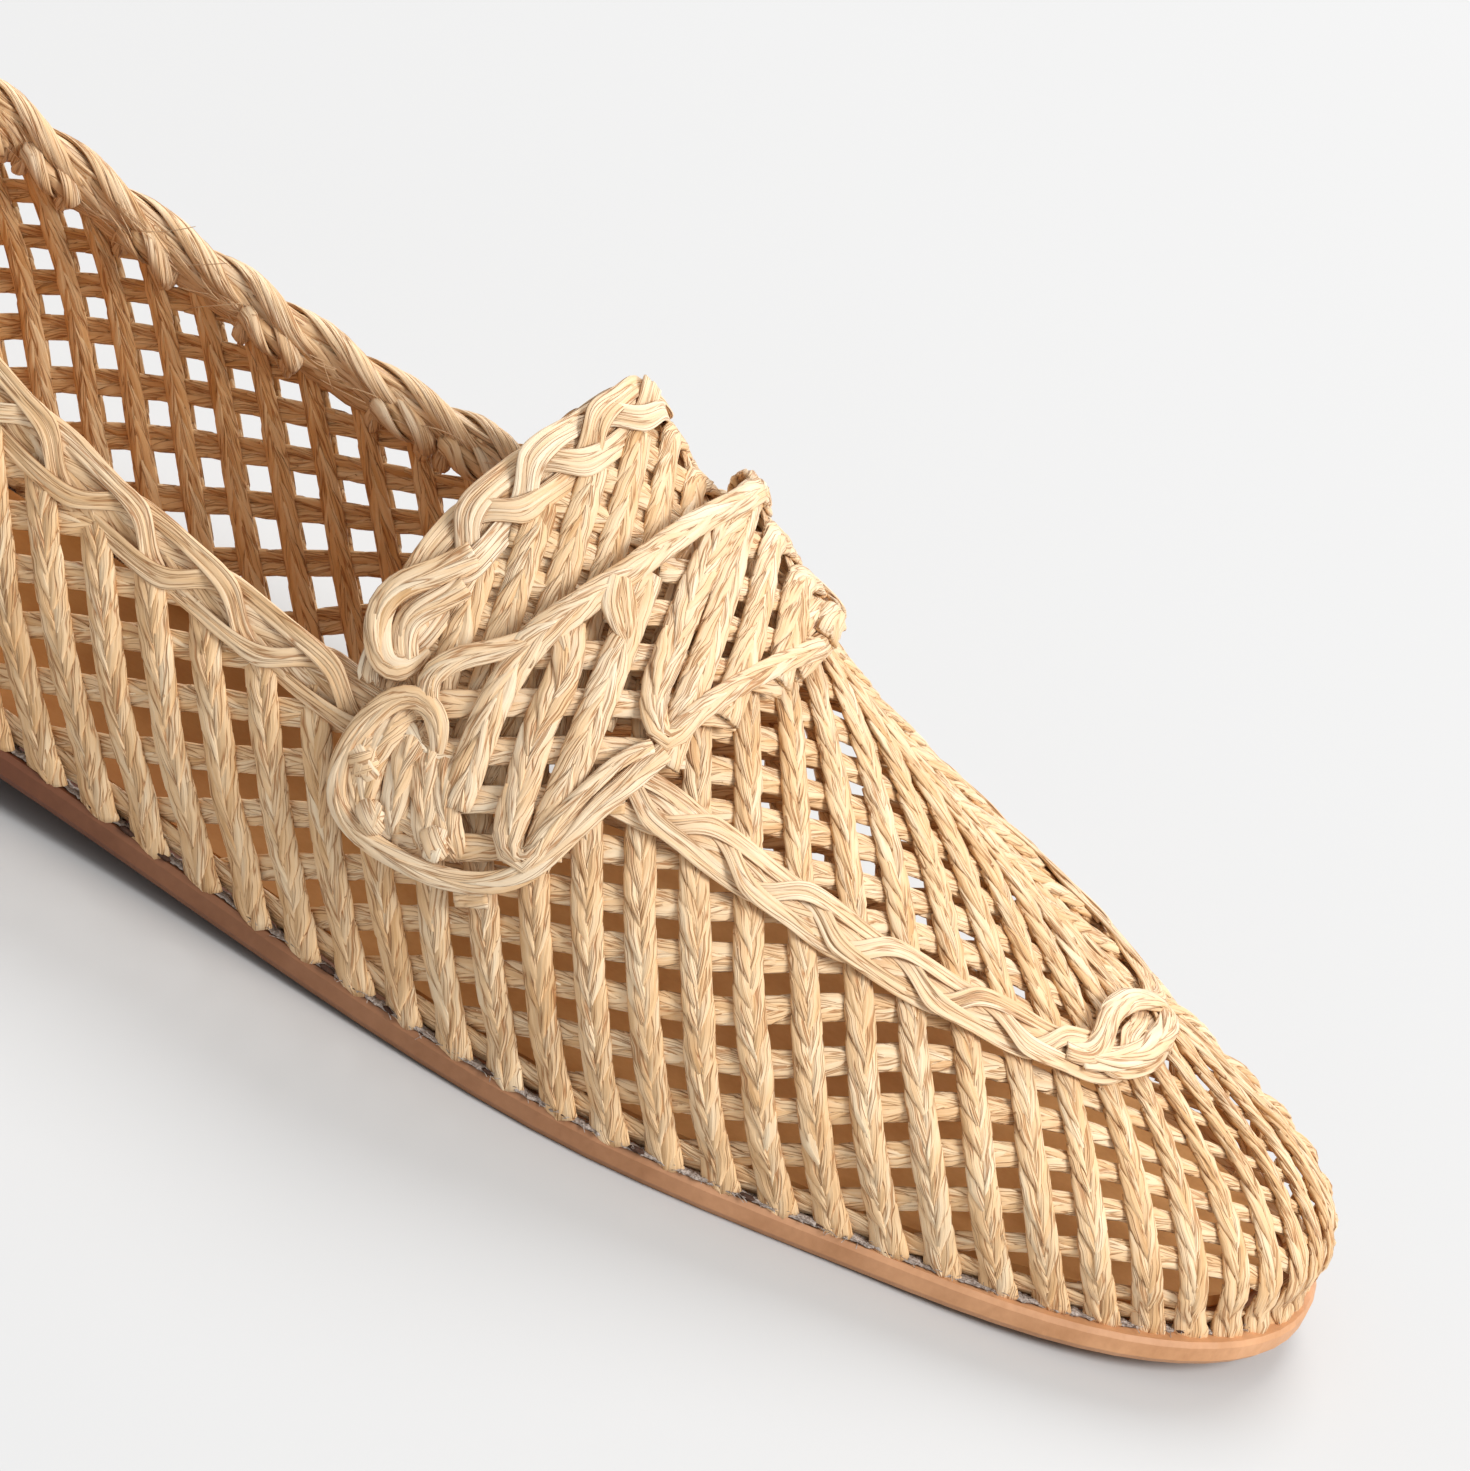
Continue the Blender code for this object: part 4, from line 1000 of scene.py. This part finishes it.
apron = Bundle()
t = np.linspace(0, 1, len(APRON["x"]))
share = np.linspace(0, 1, 160)
path_x, path_q = spline(t, APRON["x"], share), np.minimum(spline(t, APRON["q"], share), 2.0)
fl, gl = place(path_x, path_q, -1)
fm, gm = place(path_x, path_q - 0.09 * ease((1 - share) / 0.15) * ease(share / 0.2), 1)
path = np.array(list(zip(fl, gl)) + list(zip(fm, gm))[::-1][1:])
points, out = spaced(at(path[:, 0], path[:, 1]), 0.8, at(path[:, 0], path[:, 1], NORMAL))
points, out = smooth(points, 8), unit(smooth(out, 8))
n = len(points)
near = 1 - ease((np.linspace(0, 1, n) - 0.46) / 0.1)          # flatter and narrower on the inner side
plait(apron, points + out * (0.2 + 0.4 * near)[:, None], out, 2.1 + 0.6 * near, 0.2, 0.25, 15.0, tone=0.5)
braid(apron, points + out * (0.6 + 0.8 * near)[:, None], out, 2.6 + 0.9 * near, 0.25 + 0.2 * near, 0.22, 43.0, ribbons=3, tone=0.56, cover=0.42)
# folded end at the front, over the crest and back
FOLD = [(207.8, 1.650, -1), (211.0, 1.690, -1), (211.4, 1.770, -1), (211.0, 1.850, -1), (211.8, 1.935, -1), (214.0, 1.950, 1), (217.6, 1.870, 1),
        (218.6, 1.960, 1), (217.6, 1.890, -1), (216.0, 1.800, -1), (213.8, 1.735, -1), (210.0, 1.660, -1)]
fold_f, fold_g = place(*(np.array(v, float) for v in zip(*FOLD)))
t = np.linspace(0, 1, len(FOLD))
share = np.linspace(0, 1, 90)
f, g = spline(t, fold_f, share), spline(t, fold_g, share)
points, out = spaced(at(f, g), 0.6, at(f, g, NORMAL))
points, out = smooth(points, 5), unit(smooth(out, 5))
plait(apron, points + out * np.interp(np.linspace(0, 1, len(points)), (0, 0.15, 0.5, 0.85, 1), (1.6, 2.0, 1.9, 2.1, 1.7))[:, None],
      out, 1.75, 0.14, 0.26, 22.0, tone=0.6)
apron.build("apron_plait", STRAW_BRAID, "straw_braid", "apron_braid")

# ---------------------------------------------------------------- saddle strap
def trace(pairs, mirror, step=0.6, rounds=4):
    """Line through given places on the strap: x, and arc from the crest, positive towards the outer side."""
    pairs = np.array(pairs, float)
    d = np.r_[0, np.cumsum(np.hypot(*np.diff(pairs, axis=0).T))]
    fine = np.linspace(0, d[-1], max(int(d[-1] / 0.4), 12))
    x, t = spline(d, pairs[:, 0], fine), -spline(d, pairs[:, 1], fine)
    f, g, q = over(np.clip(x, 103, 170), -t if mirror else t)
    points, out = spaced(at(f, g), step, at(f, g, NORMAL))
    return smooth(points, rounds), unit(smooth(out, rounds))


def along(n, places, values):
    return np.interp(np.linspace(0, 1, n), places, values)


# plaits that fold back at the strap's edges, bands that border its rounded end, and that end's filling
LOW_FOLD = [(129.4, 35.0), (131.4, 38.3), (132.1, 45.5), (133.1, 50.5), (134.6, 56.2), (136.4, 59.6), (138.2, 59.4), (138.9, 56.0),
            (139.8, 50.9), (141.2, 45.7), (143.2, 40.2), (145.0, 37.2)]
HIGH_FOLD = [(140.6, 0.0), (140.0, 8.0), (140.2, 15.0), (141.0, 22.5), (141.9, 30.0), (143.4, 34.4), (145.6, 35.6), (147.2, 31.8),
             (148.9, 26.2), (151.4, 19.5), (154.2, 12.5), (157.0, 6.0)]
BACK_FOLD = [(128.2, 61.2), (126.7, 53.9), (126.1, 48.6), (126.2, 43.4), (127.2, 38.1), (129.0, 33.8), (130.7, 29.2), (132.6, 24.4),
             (134.3, 19.1), (136.8, 11.5), (139.2, 5.0), (140.6, 0.0)]
FAR_FOLD = BACK_FOLD[:6] + [(133.6, 29.2), (137.4, 24.4), (140.2, 19.1), (142.0, 11.5), (141.8, 5.0), (141.2, 0.0)]
TONGUE_END = [[(115.5, 37.9), (112.2, 43.4), (109.4, 47.4), (108.6, 50.8), (109.8, 53.8), (112.0, 55.6), (114.4, 54.4), (116.0, 50.6)],
              [(116.2, 41.4), (113.6, 46.6), (112.2, 50.0), (113.8, 53.0), (116.4, 55.0)]]
BACK_BAND = [(119.2, 55.0), (117.9, 53.1), (118.4, 51.0), (120.9, 47.1), (123.8, 43.7), (126.4, 40.0), (129.0, 35.0)]
END_BAND = [(123.3, 59.4), (122.3, 57.0), (120.4, 55.2), (117.9, 55.4), (115.2, 58.0), (113.6, 62.2), (113.0, 66.3), (113.6, 70.0),
            (115.5, 72.4), (118.6, 73.0), (122.8, 72.0), (127.2, 70.3), (132.1, 67.4), (135.6, 64.5), (138.5, 60.9), (140.2, 57.0),
            (141.3, 53.2), (142.7, 48.3), (144.1, 44.2), (145.5, 39.8), (146.6, 36.3)]
END_FILL = [[(118.2, 56.6), (116.6, 60.5), (116.2, 64.5), (117.8, 69.5), (119.6, 71.8)],
            [(119.8, 57.4), (119.8, 62.2), (120.6, 65.2), (122.8, 70.6)],
            [(121.6, 57.2), (123.0, 61.4), (125.4, 65.2), (127.6, 69.0)],
            [(115.4, 59.6), (114.6, 64.0), (115.4, 68.4), (118.6, 71.6), (123.0, 71.0)],
            [(124.6, 56.0), (125.2, 60.0), (128.0, 63.4), (131.2, 65.8)],
            [(114.6, 63.0), (118.6, 64.4), (122.8, 63.4), (127.2, 61.2)],
            [(115.6, 68.6), (120.0, 68.0), (124.6, 66.6), (129.6, 65.0)],
            [(116.6, 59.4), (119.6, 60.0), (123.0, 58.6), (126.2, 56.0)]]
END_KNOTS = [(115.6, 66.0), (119.4, 70.2), (127.8, 66.2)]
FLAP = [(131.6, 25.8), (132.6, 27.6), (134.2, 29.4), (136.4, 30.8)]

strap = Bundle()
for mirror in (False, True):
    points, out = trace(LOW_FOLD, mirror)
    n = len(points)
    plait(strap, points + out * along(n, (0, 0.5, 0.62, 1), (2.0, 2.1, 2.7, 2.6))[:, None], out,
          along(n, (0, 0.48, 0.58, 0.7, 1), (2.2, 2.2, 1.7, 1.1, 0.95)), 0.20, along(n, (0, 0.5, 0.7, 1), (0.42, 0.42, 0.3, 0.26)),
          PERIOD * 1.08, tone=0.58, roll=0.12)
    points, out = trace(HIGH_FOLD, mirror)
    n = len(points)
    plait(strap, points + out * along(n, (0, 0.45, 0.58, 1), (2.0, 2.1, 2.7, 2.5))[:, None], out,
          along(n, (0, 0.42, 0.52, 0.64, 1), (2.2, 2.2, 1.9, 1.45, 1.4)), 0.20, along(n, (0, 0.5, 0.7, 1), (0.42, 0.42, 0.3, 0.28)),
          PERIOD * 1.1, tone=0.60, roll=0.12)
    points, out = trace(FAR_FOLD if mirror else BACK_FOLD, mirror)
    n = len(points)
    plait(strap, points + out * along(n, (0, 0.3, 0.45, 1), (2.1, 2.1, 2.6, 2.5))[:, None], out,
          along(n, (0, 0.06, 0.35, 0.55, 1), (1.7, 2.2, 2.2, 1.8, 1.7)), 0.20, 0.40, PERIOD * 1.12, tone=0.58, roll=0.12)
    points, out = trace(BACK_BAND, mirror)
    plait(strap, points + out * 2.3, out, 1.45, 0.14, 0.24, 20.0, tone=0.58)
    points, out = trace(END_BAND, mirror)
    n = len(points)
    plait(strap, points + out * along(n, (0, 0.05, 1), (0.9, 2.4, 2.4))[:, None], out, along(n, (0, 0.06, 1), (0.7, 1.5, 1.5)),
          0.14, 0.24, 22.0, tone=0.6, way=-1)
    for k, pairs in enumerate(END_FILL):
        points, out = trace(pairs, mirror)
        n = len(points)
        high = 2.0 if k < 5 else 1.35
        plait(strap, points + out * along(n, (0, 0.22, 0.78, 1), (0.5, high, high, 0.5))[:, None], out,
              along(n, (0, 0.2, 0.8, 1), (1.2, 1.95, 1.95, 1.2)), 0.18, 0.34, 12.0, tone=0.6, roll=0.16)
    for pair in END_KNOTS:
        spin = rng.uniform(0, math.pi)
        for turn in (0.0, 1.2, 2.2):
            c, s = math.cos(spin + turn), math.sin(spin + turn)
            reach = 1.9 + 0.5 * rng.random()
            points, out = trace([(pair[0] + k * reach * c, pair[1] + k * reach * s) for k in (-1, -0.5, 0, 0.5, 1)], mirror, 0.45, 1)
            n = len(points)
            arch = 2.15 + 0.75 * np.sin(np.linspace(0, math.pi, n))
            band(strap, points + out * arch[:, None], out, 1.0, 0.2, 1, tone=0.6)
    points, out = trace(FLAP, mirror)
    n = len(points)
    band(strap, points + out * along(n, (0, 0.7, 1), (2.9, 2.9, 2.3))[:, None], out, along(n, (0, 0.45, 0.75, 1), (1.2, 2.3, 1.7, 0.4)),
         0.3, 2, tone=0.55, taper=0.5)
SHY = np.where(T > 0, 5.0 * np.exp(-((np.abs(T) - 17.0) / 10.0) ** 2), 0.0)      # inner half, drawn in at its back edge
for k in (0, 2, 3, 4, 5):
    base = 133.0 + 5.3 * k
    s = soft_abs(T)
    x = base + 0.12 * s - 3.0 * np.exp(-s / 9)
    f, g, q = over(np.clip(x, 109, 166), T)
    back, front = across(STRAP, "back", q), across(STRAP, "front", q)
    keep = (x > back + 0.8 + SHY) & (x < front - 1.6) & (q > 1.045)
    for a, b in runs(keep):
        points, out = spaced(at(f[a:b], g[a:b]), STEP, at(f[a:b], g[a:b], NORMAL))
        if len(points) < 6:
            continue
        points, out = smooth(points, 3), unit(smooth(out, 3))
        plait(strap, points + out * 2.0, out, 2.2, 0.20, 0.40, PERIOD * 1.08, tone=0.58)
for k in range(-6, 7):
    s = soft_abs(T)
    x = 133.0 + (45.2 + 6.6 * k - s) / 0.93
    f, g, q = over(np.clip(x, 109, 166), T)
    back, front = across(STRAP, "back", q), across(STRAP, "front", q)
    keep = (x > back + 1.0 + SHY) & (x < front - 1.0) & (q > 1.045)
    for a, b in runs(keep):
        points, out = spaced(at(f[a:b], g[a:b]), STEP, at(f[a:b], g[a:b], NORMAL))
        if len(points) < 6:
            continue
        points, out = smooth(points, 3), unit(smooth(out, 3))
        plait(strap, points + out * 1.1, out, 1.8, 0.10, 0.26, PERIOD, tone=0.5)
# borders over the crest, under the ends of the folded plaits
for edge, inwards, low in (("front", -1.3, 1.80), ("front", -4.2, 1.88), ("back", 2.4, 1.80)):
    line = []
    for side, qs in ((-1, np.linspace(low, 2.0, 30)), (1, np.linspace(2.0, 1.92, 14)[1:])):
        f, g = place(across(STRAP, edge, qs) + inwards, qs, side)
        line += list(zip(f, g))
    line = np.array(line)
    points, out = spaced(at(line[:, 0], line[:, 1]), 0.7, at(line[:, 0], line[:, 1], NORMAL))
    points, out = smooth(points, 6), unit(smooth(out, 6))
    plait(strap, points + out * 1.2, out, 1.7, 0.14, 0.3, PERIOD, tone=0.58)
    plait(strap, points + out * 0.2, out, 1.7, 0.12, 0.3, PERIOD, tone=0.50)
# both of its edges stand up there
bent(strap, lambda x: 1.9 * np.exp(-((x - 141.0) / 4.0) ** 2) + 1.6 * np.exp(-((x - 157.5) / 3.5) ** 2))
strap.build("strap_plaits", STRAW_STRAP, "straw_strap", "strap")

tongue_end = Bundle()
for k, pairs in enumerate(TONGUE_END):
    points, out = trace(pairs, False)
    n = len(points)
    plait(tongue_end, points + out * along(n, (0, 0.86, 1), (1.4 - 0.5 * k, 1.4 - 0.5 * k, 0.1))[:, None], out,
          along(n, (0, 0.84, 1), (1.75, 1.75, 0.6)), 0.14, 0.26, 23.0, tone=0.6)
tongue_end.build("tongue_plait_end", STRAW_BRAID, "straw_braid", "tongue_braid")

# ---------------------------------------------------------------- leather pieces keep their own form
for node, material, slot in (("outsole", SOLE_LEATHER, "sole_leather"), ("heel", SOLE_LEATHER, "sole_leather"),
                             ("insole", INSOLE_LEATHER, "insole_leather")):
    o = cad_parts[node]
    o.data.materials.clear()
    o.data.materials.append(material)

# ---------------------------------------------------------------- stage
floor_mat, tree, shader = nodes_of("floor_paper")
coord = add(tree, "ShaderNodeTexCoord")
noise = add(tree, "ShaderNodeTexNoise")
noise.inputs["Scale"].default_value = 3.0
tree.links.new(coord.outputs["Object"], noise.inputs["Vector"])
ramp = add(tree, "ShaderNodeValToRGB")
ramp.color_ramp.elements[0].color = (0.55, 0.55, 0.55, 1)
ramp.color_ramp.elements[1].color = (0.57, 0.57, 0.57, 1)
tree.links.new(noise.outputs["Fac"], ramp.inputs["Fac"])
tree.links.new(ramp.outputs["Color"], shader.inputs["Base Color"])
shader.inputs["Roughness"].default_value = 0.9
shader.inputs["Specular IOR Level"].default_value = 0.1
mesh = bpy.data.meshes.new("floor")
mesh.from_pydata([(-8, -8, -0.0001), (8, -8, -0.0001), (8, 8, -0.0001), (-8, 8, -0.0001)], [], [(0, 1, 2, 3)])
mesh.materials.append(floor_mat)
floor = bpy.data.objects.new("floor", mesh)
bpy.context.scene.collection.objects.link(floor)

world = bpy.data.worlds.new("studio")
world.use_nodes = True
world.node_tree.nodes["Background"].inputs["Color"].default_value = (1.0, 1.0, 1.0, 1.0)
world.node_tree.nodes["Background"].inputs["Strength"].default_value = 0.54
bpy.context.scene.world = world


def lamp(name, spot, target, size, power):
    data = bpy.data.lights.new(name, "AREA")
    data.shape = "DISK"
    data.size = size
    data.energy = power
    o = bpy.data.objects.new(name, data)
    o.location = spot
    o.rotation_euler = (Vector(target) - Vector(spot)).to_track_quat("-Z", "Y").to_euler()
    bpy.context.scene.collection.objects.link(o)


lamp("key", (2.65, -1.05, 2.65), (0.03, 0.0, 0.03), 2.0, 136.0)
lamp("top", (-0.20, 2.20, 2.45), (0.0, 0.0, 0.03), 1.9, 68.0)

# ---------------------------------------------------------------- camera: from the outer side, above, rolled
ELEVATION, ROLL = math.radians(26.5), math.radians(27.5)
back_way = np.array([0.0, -math.cos(ELEVATION), math.sin(ELEVATION)])
right = np.array([1.0, 0.0, 0.0])
up_way = np.cross(back_way, right)
across_way = right * math.cos(ROLL) + up_way * math.sin(ROLL)
top_way = -right * math.sin(ROLL) + up_way * math.cos(ROLL)
eye = ((np.array([154.0, 0.0, 40.4]) + back_way * 1300.0) - ORIGIN) * MM
data = bpy.data.cameras.new("camera")
data.sensor_fit = "HORIZONTAL"
data.sensor_width = 36.0
data.lens = 10400.0 / 1470.0 * 36.0
data.clip_start, data.clip_end = 0.05, 50.0
camera = bpy.data.objects.new("camera", data)
camera.matrix_world = Matrix([[across_way[k], top_way[k], back_way[k], eye[k]] for k in range(3)] + [[0, 0, 0, 1]])
bpy.context.scene.collection.objects.link(camera)
bpy.context.scene.camera = camera
bpy.context.scene.view_settings.view_transform = "Standard"
